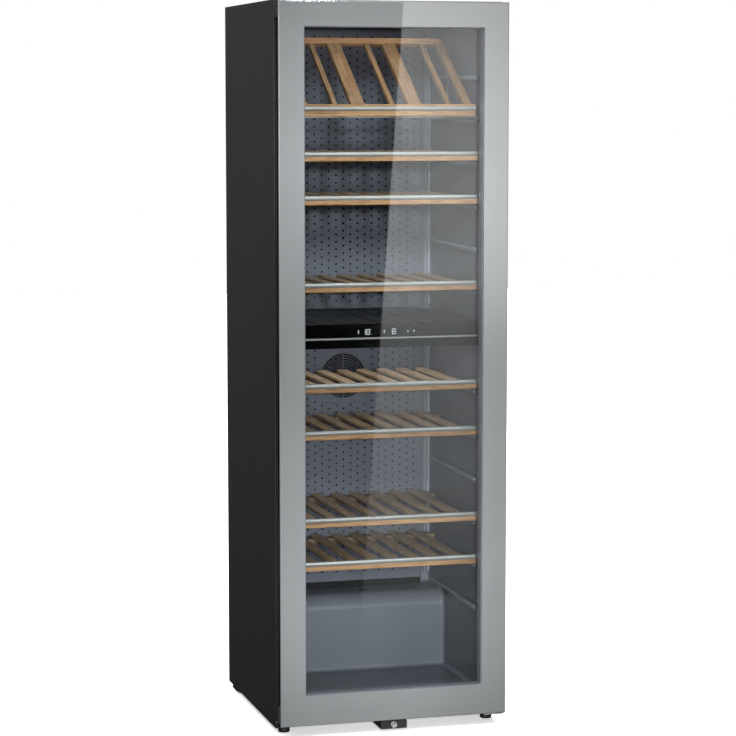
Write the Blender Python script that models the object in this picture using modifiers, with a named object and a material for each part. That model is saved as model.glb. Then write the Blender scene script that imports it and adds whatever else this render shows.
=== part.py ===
"""A free-standing two-zone wine cooler with a glass door, seven slatted shelves and a display rack.

Frame: origin at the middle of the footprint on the floor, +X to the right as the user faces the door,
-Y towards the user, +Z up. Metres throughout.
"""

import math

import bmesh
import bpy
from mathutils import Matrix, Vector

# ---------------------------------------------------------------- driving dimensions
WIDTH = 0.600
HEIGHT = 1.860
DEPTH = 0.608
GAP = 0.0003

DOOR_FRONT = -DEPTH / 2
DOOR_BOTTOM = 0.030
DOOR_TOP = 1.857
CABINET_FRONT = -0.248
CABINET_BACK = DEPTH / 2
SIDE_PANEL_BOTTOM = 0.015
SHEET = 0.001

WINDOW_HALF = 0.2345
WINDOW_BOTTOM = 0.108
WINDOW_TOP = 1.793
CORE_BOTTOM = 0.034
CORE_TOP = 1.849

CAVITY_HALF = 0.255
CAVITY_FLOOR = 0.075
CAVITY_TOP = 1.810
CAVITY_BACK = 0.226
LINER_WALL = 0.0015
HUMP_TOP = 0.2805
HUMP_FRONT = 0.086
HUMP_RADIUS = 0.040
REAR_SHEET = 0.280
NICHE_FRONT = 0.1355
NICHE_TOP = 0.215

BASE_BOTTOM = 0.030
BASE_THICK = 0.003
FOAM_BOTTOM = 0.0505

SHELF_FRONT = -0.234
UPPER_LEDGES = (1.671, 1.5608, 1.4506, 1.3404, 1.2302, 1.120)
LOWER_LEDGES = (0.8634, 0.7432, 0.6307, 0.5182, 0.4057, 0.2932)
LEDGE_OUT = 0.012
LEDGE_HALF_HEIGHT = 0.004
LEDGE_FRONT = -0.204
LEDGE_BACK = 0.190
LEDGE_NOSE_BACK = -0.030
LEDGE_NOSE_DROP = 0.0095
RIDGE_INNER = 0.2372
RIDGE_FRONT = 0.2195
RIDGE_SPANS = ((0.309, 0.9705), (1.0555, 1.795))

SHELF_HALF = 0.250
SHELF_BAR_HEIGHT = 0.0235
SHELF_OVER_LEDGE = 0.031
SLAT_PITCH = 0.055
SLAT_WIDTH = 0.027
SLAT_COUNT = 8
SLAT_HEIGHT = 0.008
SLAT_DROP = 0.002
RAIL_DEPTH = 0.030
# each shelf: the height of its ledge, and where its back edge is
SHELVES = (
    (UPPER_LEDGES[2], 0.116),
    (UPPER_LEDGES[3], 0.116),
    (UPPER_LEDGES[5], 0.116),
    (LOWER_LEDGES[0], 0.116),
    (LOWER_LEDGES[1], 0.136),
    (LOWER_LEDGES[3], 0.186),
    (LOWER_LEDGES[4], 0.186),
)

DUCT_FACE = 0.196
DUCT_HALF = 0.223
FAN_Z = 0.866
UPPER_FAN_Z = 1.620
FAN_HOLE = 0.063

DIVIDER_BOTTOM = 0.9839
DIVIDER_TRIM_LOW = 1.0063
DIVIDER_TRIM_HIGH = 1.0110
DIVIDER_DECK = 1.0408
DIVIDER_TOP = 1.0460
DISPLAY_X = (-0.054, 0.014)
LAMP_HALF = 0.2045

HINGE_X = 0.284
HINGE_Y = -0.286
FOOT_X = 0.2725
FOOT_Y = -0.224
ROLLER_X = 0.2785
ROLLER_Y = 0.216
ROLLER_RADIUS = 0.0145
LOCK_Z = 0.0175
ROLLER_CHEEKS = 0.0165
BASE_ON = BASE_BOTTOM + BASE_THICK + GAP

RACK_ANGLE = math.radians(33)
RACK_HALF = 0.235
RACK_RAIL_BOTTOM = 1.5706
RACK_RAIL_HEIGHT = 0.031
RACK_LENGTH = 0.322
RACK_BOARD_PITCH = 0.150
RACK_BOARD = 0.036
RACK_SIDE = 0.020
RACK_CRADLE = 0.013
RACK_HEADER = 0.028
RACK_THICK = 0.016

COLOURS = {
    "side_paint": ((0.018, 0.018, 0.019), 0.35, 0.6),
    "galvanised": ((0.45, 0.46, 0.47), 0.45, 0.9),
    "foam": ((0.80, 0.74, 0.55), 0.9, 0.0),
    "liner_plastic": ((0.26, 0.28, 0.32), 0.45, 0.0),
    "duct_metal": ((0.20, 0.22, 0.27), 0.40, 0.5),
    "black_plastic": ((0.02, 0.02, 0.022), 0.45, 0.0),
    "gloss_black": ((0.01, 0.01, 0.012), 0.10, 0.0),
    "chrome": ((0.80, 0.81, 0.82), 0.15, 1.0),
    "aluminium": ((0.72, 0.73, 0.74), 0.30, 1.0),
    "door_silver": ((0.42, 0.44, 0.45), 0.35, 0.8),
    "glass": ((0.90, 0.93, 0.92), 0.02, 0.0),
    "rubber": ((0.03, 0.03, 0.03), 0.80, 0.0),
    "wood": ((0.55, 0.33, 0.16), 0.50, 0.0),
    "led_lens": ((0.95, 0.96, 1.00), 0.30, 0.0),
    "board": ((0.02, 0.18, 0.08), 0.50, 0.0),
    "compressor_paint": ((0.01, 0.01, 0.01), 0.40, 0.3),
}

# ---------------------------------------------------------------- scene and helpers
for old in list(bpy.data.objects):
    bpy.data.objects.remove(old)

PARTS = bpy.data.collections.new("wine_cooler")
CUTTERS = bpy.data.collections.new("cutters")
for made in (PARTS, CUTTERS):
    bpy.context.scene.collection.children.link(made)


def make_material(name):
    colour, roughness, metallic = COLOURS[name]
    material = bpy.data.materials.new(name)
    material.use_nodes = True
    shader = material.node_tree.nodes["Principled BSDF"]
    shader.inputs["Base Color"].default_value = (*colour, 1.0)
    shader.inputs["Roughness"].default_value = roughness
    shader.inputs["Metallic"].default_value = metallic
    if name == "glass":
        shader.inputs["Transmission Weight"].default_value = 1.0
    return material


def place(obj, material=None):
    """Puts obj in the parts collection with its own material, or among the cutters when it has none."""
    if material:
        PARTS.objects.link(obj)
        obj.data.materials.append(make_material(material))
        obj.active_material.name = obj.name
    else:
        CUTTERS.objects.link(obj)
        obj.hide_render = True
        obj.display_type = "WIRE"
    return obj


def block_mesh(boxes, centre):
    """A mesh of separate boxes, each a (low corner, high corner) pair, measured from centre."""
    bm = bmesh.new()
    for low, high in boxes:
        low, high = Vector(low), Vector(high)
        size = Matrix.Diagonal((*(high - low), 1.0))
        middle = Matrix.Translation((low + high) / 2 - Vector(centre))
        bmesh.ops.create_cube(bm, size=1.0, matrix=middle @ size)
    mesh = bpy.data.meshes.new("blocks")
    bm.to_mesh(mesh)
    bm.free()
    return mesh


def block(name, low, high, material=None, bevel=0.0):
    centre = (Vector(low) + Vector(high)) / 2
    obj = bpy.data.objects.new(name, block_mesh([(low, high)], centre))
    obj.location = centre
    if bevel:
        edge = obj.modifiers.new("edges", "BEVEL")
        edge.width = bevel
        edge.segments = 1
    return place(obj, material)


def blocks(name, boxes):
    """A helper of several boxes that don't touch each other, for one Boolean."""
    return place(bpy.data.objects.new(name, block_mesh(boxes, (0, 0, 0))))


def rod(name, start, end, radius, sides=20, material=None):
    start, end = Vector(start), Vector(end)
    along = end - start
    turn = along.to_track_quat("Z", "Y").to_matrix().to_4x4()
    bm = bmesh.new()
    bmesh.ops.create_cone(
        bm, cap_ends=True, segments=sides, radius1=radius, radius2=radius, depth=along.length
    )
    bmesh.ops.transform(bm, matrix=turn, verts=bm.verts)
    mesh = bpy.data.meshes.new(name)
    bm.to_mesh(mesh)
    bm.free()
    obj = bpy.data.objects.new(name, mesh)
    obj.location = (start + end) / 2
    return place(obj, material)


def turned(name, profile, location, direction, material=None, steps=24):
    """A profile of (radius, height) points, from its top down its outer side, turned about its axis."""
    mesh = bpy.data.meshes.new(name)
    edges = [(i, i + 1) for i in range(len(profile) - 1)]
    mesh.from_pydata([(r, 0, h) for r, h in profile], edges, [])
    obj = bpy.data.objects.new(name, mesh)
    obj.location = location
    obj.rotation_mode = "QUATERNION"
    obj.rotation_quaternion = Vector(direction).to_track_quat("Z", "Y")
    screw = obj.modifiers.new("turn", "SCREW")
    screw.steps = steps
    screw.render_steps = steps
    screw.use_merge_vertices = True
    screw.merge_threshold = 0.00005
    return place(obj, material)


def outline(name, loops, thickness, location, matrix, material=None):
    """A flat outline with any holes, as thick as given, laid in the plane that matrix turns XY into."""
    curve = bpy.data.curves.new(name, "CURVE")
    curve.dimensions = "2D"
    curve.fill_mode = "BOTH"
    curve.extrude = thickness / 2
    for points in loops:
        spline = curve.splines.new("POLY")
        spline.points.add(len(points) - 1)
        for point, (x, y) in zip(spline.points, points):
            point.co = (x, y, 0, 1)
        spline.use_cyclic_u = True
    guide = bpy.data.objects.new(name + "_outline", curve)
    guide.matrix_world = Matrix.Translation(location) @ matrix
    CUTTERS.objects.link(guide)
    bpy.context.view_layer.update()
    mesh = bpy.data.meshes.new_from_object(guide.evaluated_get(bpy.context.evaluated_depsgraph_get()))
    bm = bmesh.new()
    bm.from_mesh(mesh)
    bmesh.ops.remove_doubles(bm, verts=bm.verts, dist=0.00001)
    bmesh.ops.recalc_face_normals(bm, faces=bm.faces)
    bm.to_mesh(mesh)
    bm.free()
    obj = bpy.data.objects.new(name, mesh)
    obj.matrix_world = guide.matrix_world
    bpy.data.objects.remove(guide)
    return place(obj, material)


SIDEWAYS = Matrix(((0, 0, 1, 0), (1, 0, 0, 0), (0, 1, 0, 0), (0, 0, 0, 1)))  # outline in YZ
UPRIGHT = Matrix(((1, 0, 0, 0), (0, 0, -1, 0), (0, 1, 0, 0), (0, 0, 0, 1)))  # outline in XZ
FLAT = Matrix.Identity(4)  # outline in XY


def rectangle(x0, y0, x1, y1):
    return [(x0, y0), (x1, y0), (x1, y1), (x0, y1)]


def ring(name, outer, inner, front, back, material):
    """A rectangular frame in XZ with its opening, from Y front to Y back."""
    middle = (0, (front + back) / 2, 0)
    loops = [rectangle(*outer), rectangle(*inner)]
    return outline(name, loops, back - front, middle, UPRIGHT, material)


def boolean(obj, other, operation):
    change = obj.modifiers.new(other.name, "BOOLEAN")
    change.operation = operation
    change.object = other
    return obj


def cut(obj, *cutters):
    for cutter in cutters:
        boolean(obj, cutter, "DIFFERENCE")
    return obj


def join(obj, *others):
    for other in others:
        boolean(obj, other, "UNION")
    return obj


def soften(obj):
    for face in obj.data.polygons:
        face.use_smooth = True
    obj.data.set_sharp_from_angle(angle=math.radians(35))
    return obj


def tube(name, points, radius, material, resolution=2):
    curve = bpy.data.curves.new(name, "CURVE")
    curve.dimensions = "3D"
    curve.bevel_depth = radius
    curve.bevel_resolution = resolution
    curve.use_fill_caps = True
    spline = curve.splines.new("POLY")
    spline.points.add(len(points) - 1)
    for point, place_at in zip(spline.points, points):
        point.co = (*place_at, 1)
    return place(bpy.data.objects.new(name, curve), material)


# ---------------------------------------------------------------- cabinet
def side_panel(name, side):
    """A folded sheet: the side wall with a short flange turned in along its back edge."""
    face, inner = side * WIDTH / 2, side * (WIDTH / 2 - SHEET)
    turned_in = side * (WIDTH / 2 - 0.016)
    points = [
        (face, CABINET_FRONT),
        (face, CABINET_BACK),
        (turned_in, CABINET_BACK),
        (turned_in, CABINET_BACK - SHEET),
        (inner, CABINET_BACK - SHEET),
        (inner, CABINET_FRONT),
    ]
    height = HEIGHT - SIDE_PANEL_BOTTOM
    middle = (0, 0, SIDE_PANEL_BOTTOM + height / 2)
    outline(name, [points], height, middle, FLAT, "side_paint")


def cavity_outline(grow, front):
    """The cavity seen from the side, with the hump's rounded top edge, grown outwards by grow."""
    radius = HUMP_RADIUS - grow
    centre = (HUMP_FRONT + HUMP_RADIUS, HUMP_TOP - HUMP_RADIUS)
    steps = 6
    corner = []
    for i in range(steps + 1):
        angle = math.pi - i * math.pi / 2 / steps
        corner.append((centre[0] + radius * math.cos(angle), centre[1] + radius * math.sin(angle)))
    return [
        (front, CAVITY_FLOOR - grow),
        (HUMP_FRONT + grow, CAVITY_FLOOR - grow),
        *corner,
        (CAVITY_BACK + grow, HUMP_TOP - grow),
        (CAVITY_BACK + grow, CAVITY_TOP + grow),
        (front, CAVITY_TOP + grow),
    ]


def cavity_solid(name, grow, front, material=None):
    width = 2 * (CAVITY_HALF + grow)
    return outline(name, [cavity_outline(grow, front)], width, (0, 0, 0), SIDEWAYS, material)


def inner_liner():
    liner = cavity_solid("inner_liner", LINER_WALL, CABINET_FRONT + 0.0008, "liner_plastic")
    flange_low = (-WIDTH / 2 + 0.0015, CABINET_FRONT, BASE_BOTTOM + BASE_THICK + GAP)
    flange_high = (WIDTH / 2 - 0.0015, CABINET_FRONT + LINER_WALL, HEIGHT - 0.0018)
    join(liner, block("liner_flange", flange_low, flange_high))
    cut(liner, cavity_solid("cavity", 0.0, CABINET_FRONT - 0.010))
    ledges, noses, ridges = [], [], []
    for side in (-1, 1):
        wall, inner = side * (CAVITY_HALF + LINER_WALL / 2), side * (CAVITY_HALF - LEDGE_OUT)
        x_low, x_high = sorted((wall, inner))
        for z in UPPER_LEDGES + LOWER_LEDGES:
            low = (x_low, LEDGE_FRONT, z - LEDGE_HALF_HEIGHT)
            ledges.append((low, (x_high, LEDGE_BACK, z + LEDGE_HALF_HEIGHT)))
            low = (x_low + 0.0002, LEDGE_FRONT + 0.0002, z - LEDGE_NOSE_DROP)
            noses.append((low, (x_high - 0.0002, LEDGE_NOSE_BACK, z)))
        x_low, x_high = sorted((wall, side * RIDGE_INNER))
        for z_low, z_high in RIDGE_SPANS:
            ridges.append(((x_low, RIDGE_FRONT, z_low), (x_high, CAVITY_BACK + LINER_WALL / 2, z_high)))
    join(liner, blocks("ledges", ledges), blocks("ledge_noses", noses), blocks("corner_ridges", ridges))


def foam_insulation():
    outer_x = WIDTH / 2 - SHEET - GAP
    low = (-outer_x, CABINET_FRONT + LINER_WALL + GAP, FOAM_BOTTOM)
    foam = block("foam_insulation", low, (outer_x, REAR_SHEET - GAP, HEIGHT - 0.0018), "foam")
    hollow = cavity_solid("foam_hollow", LINER_WALL + GAP, CABINET_FRONT - 0.010)
    niche = block("niche", (-0.4, NICHE_FRONT, 0), (0.4, 0.4, NICHE_TOP))
    cut(foam, hollow, niche)


def cabinet():
    side_panel("side_panel_left", -1)
    side_panel("side_panel_right", 1)
    inner_liner()
    foam_insulation()
    inside = WIDTH / 2 - SHEET - GAP
    top_low = (-inside, CABINET_FRONT, HEIGHT - 0.0015)
    block("top_panel", top_low, (inside, REAR_SHEET + SHEET, HEIGHT), "side_paint")
    rear_low = (-inside, REAR_SHEET, NICHE_TOP)
    block("rear_panel", rear_low, (inside, REAR_SHEET + SHEET, HEIGHT - 0.0018), "galvanised")


def base_plate():
    inside = WIDTH / 2 - SHEET - GAP
    low, plate_top = (-inside, CABINET_FRONT, BASE_BOTTOM), BASE_BOTTOM + BASE_THICK
    base = block("base_plate", low, (inside, CABINET_BACK - 0.002, plate_top), "galvanised")
    cheeks = []
    for side in (-1, 1):
        for offset in (-ROLLER_CHEEKS, ROLLER_CHEEKS):
            x = side * ROLLER_X + offset
            low = (x - SHEET, ROLLER_Y - 0.010, 0.006)
            cheeks.append((low, (x + SHEET, ROLLER_Y + 0.045, BASE_BOTTOM + BASE_THICK / 2)))
    join(base, blocks("roller_cheeks", cheeks))
    for side in (-1, 1):
        x, reach = side * ROLLER_X, 0.03
        axle_ends = [(x + end, ROLLER_Y, ROLLER_RADIUS) for end in (-reach, reach)]
        axle = rod(f"axle_hole{side}", *axle_ends, 0.0034, 12)
        stem_ends = [(side * FOOT_X, FOOT_Y, z) for z in (0.02, 0.04)]
        stem = rod(f"stem_hole{side}", *stem_ends, 0.0058, 16)
        cut(base, axle, stem)


def feet():
    profile = [(0, 0.048), (0.005, 0.048), (0.005, 0.0125), (0.0135, 0.012), (0.015, 0.010)]
    profile += [(0.015, 0.001), (0.014, 0), (0, 0)]
    for name, side in (("front_foot_left", -1), ("front_foot_right", 1)):
        soften(turned(name, profile, (side * FOOT_X, FOOT_Y, 0), (0, 0, 1), "rubber", 20))
    half, pin, edge = 0.0135, 0.0172, 0.001
    wheel = [(0, pin), (0.003, pin), (0.003, half)]
    wheel += [(ROLLER_RADIUS - edge, half), (ROLLER_RADIUS, half - edge)]
    profile = wheel + [(r, -h) for r, h in reversed(wheel)]
    for name, side in (("rear_roller_left", -1), ("rear_roller_right", 1)):
        place_at = (side * ROLLER_X, ROLLER_Y, ROLLER_RADIUS)
        soften(turned(name, profile, place_at, (1, 0, 0), "black_plastic", 28))


# ---------------------------------------------------------------- air and cooling
def duct_panel(name, z_low, z_high, fan_z):
    """A folded metal panel in front of the evaporator, its edges turned back to the liner."""
    half, back = DUCT_HALF, CAVITY_BACK - 0.001
    points = [
        (-half, DUCT_FACE),
        (half, DUCT_FACE),
        (half, back),
        (half - 0.002, back),
        (half - 0.002, DUCT_FACE + 0.002),
        (-half + 0.002, DUCT_FACE + 0.002),
        (-half + 0.002, back),
        (-half, back),
    ]
    middle = (0, 0, (z_low + z_high) / 2)
    panel = outline(name, [points], z_high - z_low, middle, FLAT, "duct_metal")
    if fan_z:
        ends = [(0, DUCT_FACE + reach, fan_z) for reach in (-0.01, 0.01)]
        hole = rod(name + "_hole", *ends, FAN_HOLE, 32)
        cut(panel, hole)


def fan_grille():
    """Concentric rings held by a cross of bars, with the motor's shaft on the hub."""
    front, back, slot = DUCT_FACE - 0.0012, DUCT_FACE + 0.0016, 0.0065
    ends = [(0, y, FAN_Z) for y in (front, back)]
    grille = rod("lower_fan_grille", *ends, FAN_HOLE - 0.0006, 32, "black_plastic")
    for i, outer in enumerate((0.0585, 0.0485, 0.0385, 0.0285)):
        ring_profile = [(outer - slot, 0.01), (outer, 0.01), (outer, -0.01), (outer - slot, -0.01)]
        ring_profile.append(ring_profile[0])
        cut(grille, turned(f"grille_slot_{i}", ring_profile, (0, DUCT_FACE, FAN_Z), (0, 1, 0), None, 24))
    reach, half = FAN_HOLE - 0.003, 0.002
    low, high = (-half, front + 0.0004, FAN_Z - reach), (half, back - 0.0002, FAN_Z + reach)
    upright = block("grille_upright", low, high)
    low, high = (-reach, front + 0.0005, FAN_Z - half), (reach, back - 0.0003, FAN_Z + half)
    level = block("grille_level", low, high)
    shaft = rod("lower_shaft", (0, DUCT_FACE, FAN_Z), (0, 0.214, FAN_Z), 0.003, 16)
    join(grille, upright, level, shaft)


def upper_fan_bracket():
    half, tall = 0.060, 0.010
    low = (-half, DUCT_FACE + 0.0025, UPPER_FAN_Z - tall)
    high = (half, DUCT_FACE + 0.0045, UPPER_FAN_Z + tall)
    bracket = block("upper_fan_bracket", low, high, "galvanised")
    ends = [(0, y, UPPER_FAN_Z) for y in (DUCT_FACE + 0.003, 0.217)]
    join(bracket, rod("upper_shaft", *ends, 0.003, 16))


def fan_rotor(name, y_front, z):
    """A hub with seven pitched blades; its bore runs on the fixed shaft."""
    depth, blades = 0.011, 7
    middle = y_front + depth / 2
    rotor = rod(name, (0, y_front, z), (0, y_front + depth, z), 0.016, 21, "black_plastic")
    bm = bmesh.new()
    for i in range(blades):
        blade = Matrix.Rotation(i * math.tau / blades, 4, "Y")
        blade @= Matrix.Translation((0.029, 0, 0)) @ Matrix.Rotation(math.radians(28), 4, "X")
        bmesh.ops.create_cube(bm, size=1.0, matrix=blade @ Matrix.Diagonal((0.032, 0.0015, 0.016, 1)))
    mesh = bpy.data.meshes.new(name + "_blades")
    bm.to_mesh(mesh)
    bm.free()
    wings = place(bpy.data.objects.new(name + "_blades", mesh))
    wings.location = (0, middle, z)
    bore = rod(name + "_bore", (0, y_front - 0.01, z), (0, y_front + depth + 0.01, z), 0.0032, 20)
    cut(join(rotor, wings), bore)


def evaporator(name, z_low, z_high):
    """A serpentine of tube behind the duct panel."""
    runs, reach, y = 6, 0.175, 0.213
    points = []
    for i in range(runs):
        z = z_low + (z_high - z_low) * i / (runs - 1)
        ends = (-reach, reach) if i % 2 == 0 else (reach, -reach)
        points += [(ends[0], y, z), (ends[1], y, z)]
    tube(name, points, 0.004, "aluminium")


def condenser():
    """The warm serpentine outside the rear panel, coming down beside the compressor."""
    runs, reach, y = 12, 0.225, 0.291
    points = []
    for i in range(runs):
        z = 1.700 - i * 0.125
        ends = (-reach, reach) if i % 2 == 0 else (reach, -reach)
        points += [(ends[0], y, z), (ends[1], y, z)]
    points += [(-reach, y, 0.160), (-0.120, y, 0.110), (-0.078, 0.245, 0.110)]
    tube("condenser", points, 0.0028, "compressor_paint")


def compressor():
    profile = [(0, 0.152), (0.030, 0.148), (0.054, 0.134), (0.067, 0.110), (0.069, 0.085), (0.071, 0.080)]
    profile += [(0.071, 0.074), (0.069, 0.070), (0.067, 0.036), (0.052, 0.012), (0.030, 0.006), (0, 0.006)]
    base = BASE_ON
    shell = turned("compressor", profile, (0, 0.216, base), (0, 0, 1), "compressor_paint", 28)
    soften(shell)
    feet_plate = block("mounting_rails", (-0.100, 0.206, base), (0.100, 0.226, base + 0.010))
    cover = block("terminal_cover", (0.060, 0.190, base + 0.055), (0.092, 0.242, base + 0.110))
    join(shell, feet_plate, cover)


def drip_tray():
    tray = block("drip_tray", (-0.110, 0.144, 0.190), (0.110, 0.290, 0.212), "black_plastic")
    cut(tray, block("tray_hollow", (-0.107, 0.147, 0.193), (0.107, 0.287, 0.230)))


def mains_inlet():
    base = BASE_ON
    low, high = (-0.245, 0.262, base), (-0.205, 0.300, base + 0.036)
    inlet = block("mains_inlet", low, high, "black_plastic", 0.001)
    cut(inlet, block("inlet_socket", (-0.239, 0.282, base + 0.007), (-0.211, 0.320, base + 0.029)))
    pins = []
    for x in (-0.232, -0.225, -0.218):
        pins.append(((x - 0.001, 0.280, base + 0.014), (x + 0.001, 0.296, base + 0.022)))
    join(inlet, blocks("inlet_pins", pins))


# ---------------------------------------------------------------- zone divider and controls
def divider():
    half, nose, back = CAVITY_HALF - 0.0015, SHELF_FRONT + 0.008, DUCT_FACE - 0.0008
    low, high = (-half, nose, DIVIDER_BOTTOM), (half, back, DIVIDER_DECK - GAP)
    housing = block("divider_housing", low, high, "black_plastic")
    low = (-half, SHELF_FRONT + 0.001, DIVIDER_BOTTOM + 0.0005)
    lip = block("divider_lip", low, (half, nose + 0.002, DIVIDER_TRIM_LOW - 0.001))
    hollow = block("divider_hollow", (-0.130, nose - 0.01, 1.0140), (0.130, -0.180, 1.0380))
    slot_half = LAMP_HALF + 0.0005
    slot_low = (-slot_half, -0.200, DIVIDER_BOTTOM - 0.01)
    slot_high = (slot_half, -0.186, DIVIDER_BOTTOM + 0.006)
    lamp_slot = block("lamp_slot", slot_low, slot_high)
    cut(join(housing, lip), hollow, lamp_slot)
    trim_low = (-half, SHELF_FRONT - 0.0005, DIVIDER_TRIM_LOW - 0.0003)
    block("divider_trim_strip", trim_low, (half, nose - GAP, DIVIDER_TRIM_HIGH), "chrome", 0.0008)
    fascia_low = (-half, SHELF_FRONT, DIVIDER_TRIM_HIGH + GAP)
    block("control_fascia", fascia_low, (half, nose - GAP, DIVIDER_TOP), "gloss_black", 0.001)
    deck_low, deck_high = (-half, nose, DIVIDER_DECK), (half, back, DIVIDER_TOP - 0.002)
    deck = block("divider_shelf", deck_low, deck_high, "black_plastic")
    ribs = []
    for i in range(SLAT_COUNT + 1):
        x = (i - SLAT_COUNT / 2) * SLAT_PITCH
        low = (x - 0.012, nose + 0.001, DIVIDER_DECK + 0.001)
        ribs.append((low, (x + 0.012, back - 0.0032, DIVIDER_TOP)))
    join(deck, blocks("deck_ribs", ribs))
    board = block("control_board", (-0.120, nose + 0.003, 1.0165), (0.120, -0.186, 1.0181), "board")
    units = []
    for x in DISPLAY_X:
        units.append(((x - 0.012, nose + 0.0035, 1.0175), (x + 0.012, nose + 0.009, 1.0345)))
    join(board, blocks("display_units", units))
    lamp_low = (-LAMP_HALF, -0.1995, DIVIDER_BOTTOM - 0.001)
    block("lower_led_lamp", lamp_low, (LAMP_HALF, -0.1865, DIVIDER_BOTTOM + 0.0055), "led_lens")
    lamp_low, lamp_high = (-0.150, -0.190, CAVITY_TOP - 0.006), (0.150, -0.165, CAVITY_TOP - GAP)
    block("upper_led_lamp", lamp_low, lamp_high, "led_lens", 0.001)


# ---------------------------------------------------------------- shelves and display rack
def shelf(number, z_ledge, back):
    """A front bar, slats from front to back, and two rails across below them that lie on the ledges."""
    top = z_ledge + SHELF_OVER_LEDGE
    bar_low = (-SHELF_HALF, SHELF_FRONT + 0.0018, top - SHELF_BAR_HEIGHT)
    bar_high = (SHELF_HALF, SHELF_FRONT + 0.020, top - 0.0008)
    bar = block(f"shelf_{number}", bar_low, bar_high, "wood", 0.0015)
    slats, rails = [], []
    slat_low, slat_high = top - SLAT_DROP - SLAT_HEIGHT, top - SLAT_DROP
    for i in range(SLAT_COUNT):
        x = (i - (SLAT_COUNT - 1) / 2) * SLAT_PITCH
        low = (x - SLAT_WIDTH / 2, SHELF_FRONT + 0.015, slat_low)
        slats.append((low, (x + SLAT_WIDTH / 2, back, slat_high)))
    rest = z_ledge + LEDGE_HALF_HEIGHT + GAP
    for y in (SHELF_FRONT + 0.0175, back - RAIL_DEPTH - 0.004):
        low, high = (-SHELF_HALF + 0.001, y, rest), (SHELF_HALF - 0.001, y + RAIL_DEPTH, slat_low + 0.0005)
        rails.append((low, high))
    join(bar, blocks(f"slats_{number}", slats), blocks(f"rails_{number}", rails))
    sheet, strip_low = 0.0015, top - 0.0115
    points = [
        (SHELF_FRONT, strip_low),
        (SHELF_FRONT + sheet, strip_low),
        (SHELF_FRONT + sheet, top - 0.0005),
        (SHELF_FRONT + 0.012, top - 0.0005),
        (SHELF_FRONT + 0.012, top),
        (SHELF_FRONT + 0.001, top),
        (SHELF_FRONT, top - 0.001),
    ]
    outline(f"shelf_strip_{number}", [points], 2 * SHELF_HALF, (0, 0, 0), SIDEWAYS, "aluminium")


def rack_stand(slope):
    """Runners on the ledges, joined at the back, with a post and a pin on each side for the frame."""
    rest = UPPER_LEDGES[1] + LEDGE_HALF_HEIGHT + GAP
    stub = slope @ Vector((0, RACK_LENGTH - 0.032, RACK_THICK / 2))
    low, high = (-0.248, 0.058, rest + 0.0005), (0.248, 0.068, rest + 0.0035)
    stand = block("display_rack_stand", low, high, "aluminium")
    runners, posts, soles = [], [], []
    for side in (-1, 1):
        x = side * 0.2445
        runners.append(((x - 0.005, SHELF_FRONT + 0.004, rest), (x + 0.005, 0.070, rest + 0.004)))
        x = side * 0.2385
        low = (x - 0.001, stub.y - 0.006, rest + 0.001)
        posts.append((low, (x + 0.001, stub.y + 0.006, stub.z + 0.008)))
        x = side * 0.2410
        low = (x - 0.003, stub.y - 0.005, rest + 0.0012)
        soles.append((low, (x + 0.003, stub.y + 0.005, rest + 0.0038)))
    lower = (blocks("stand_runners", runners), blocks("stand_soles", soles))
    join(stand, *lower, blocks("stand_posts", posts))
    for side in (-1, 1):
        ends = [(side * x, stub.y, stub.z) for x in (0.2292, 0.2388)]
        join(stand, rod(f"stand_pin{side}", *ends, 0.003, 12))


def display_rack():
    """An inclined wooden frame whose boards carry the bottles, on a metal stand on the ledges."""
    rail_top = RACK_RAIL_BOTTOM + RACK_RAIL_HEIGHT
    y_front = SHELF_FRONT + 0.0018
    rail_low = (-RACK_HALF, y_front, RACK_RAIL_BOTTOM)
    rail = block("display_rack_frame", rail_low, (RACK_HALF, y_front + 0.018, rail_top), "wood", 0.0015)
    slope = Matrix.Translation((0, y_front + 0.010, RACK_RAIL_BOTTOM + 0.016))
    slope @= Matrix.Rotation(RACK_ANGLE, 4, "X")
    edge = 1.5 * RACK_BOARD_PITCH + 0.001
    boards = [(-0.5 * RACK_BOARD_PITCH, RACK_BOARD), (0.5 * RACK_BOARD_PITCH, RACK_BOARD)]
    boards += [(side * (edge - RACK_SIDE / 2), RACK_SIDE) for side in (-1, 1)]
    reach = RACK_LENGTH - RACK_HEADER + 0.003
    grid = [((x - w / 2, 0, 0), (x + w / 2, reach, RACK_THICK)) for x, w in boards]
    for x in (-1.5 * RACK_BOARD_PITCH, -0.5 * RACK_BOARD_PITCH, 0.5 * RACK_BOARD_PITCH):
        low, high = x + 0.092 - RACK_CRADLE / 2, x + 0.092 + RACK_CRADLE / 2
        grid.append(((low, 0, 0), (high, reach - 0.001, RACK_THICK - 0.004)))
    lying = blocks("rack_boards", grid)
    lying.matrix_world = slope
    header_low = (-edge + 0.0005, RACK_LENGTH - RACK_HEADER - 0.001, 0.0035)
    header = block("rack_header", header_low, (edge - 0.0005, RACK_LENGTH - 0.001, RACK_THICK - 0.001))
    header.matrix_world = slope @ header.matrix_basis
    join(rail, lying, header)
    strip = [
        (SHELF_FRONT, rail_top - 0.0165),
        (SHELF_FRONT + 0.0015, rail_top - 0.0165),
        (SHELF_FRONT + 0.0015, rail_top - 0.006),
        (SHELF_FRONT, rail_top - 0.006),
    ]
    outline("display_rack_strip", [strip], 2 * RACK_HALF, (0, 0, 0), SIDEWAYS, "aluminium")
    rack_stand(slope)


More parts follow.
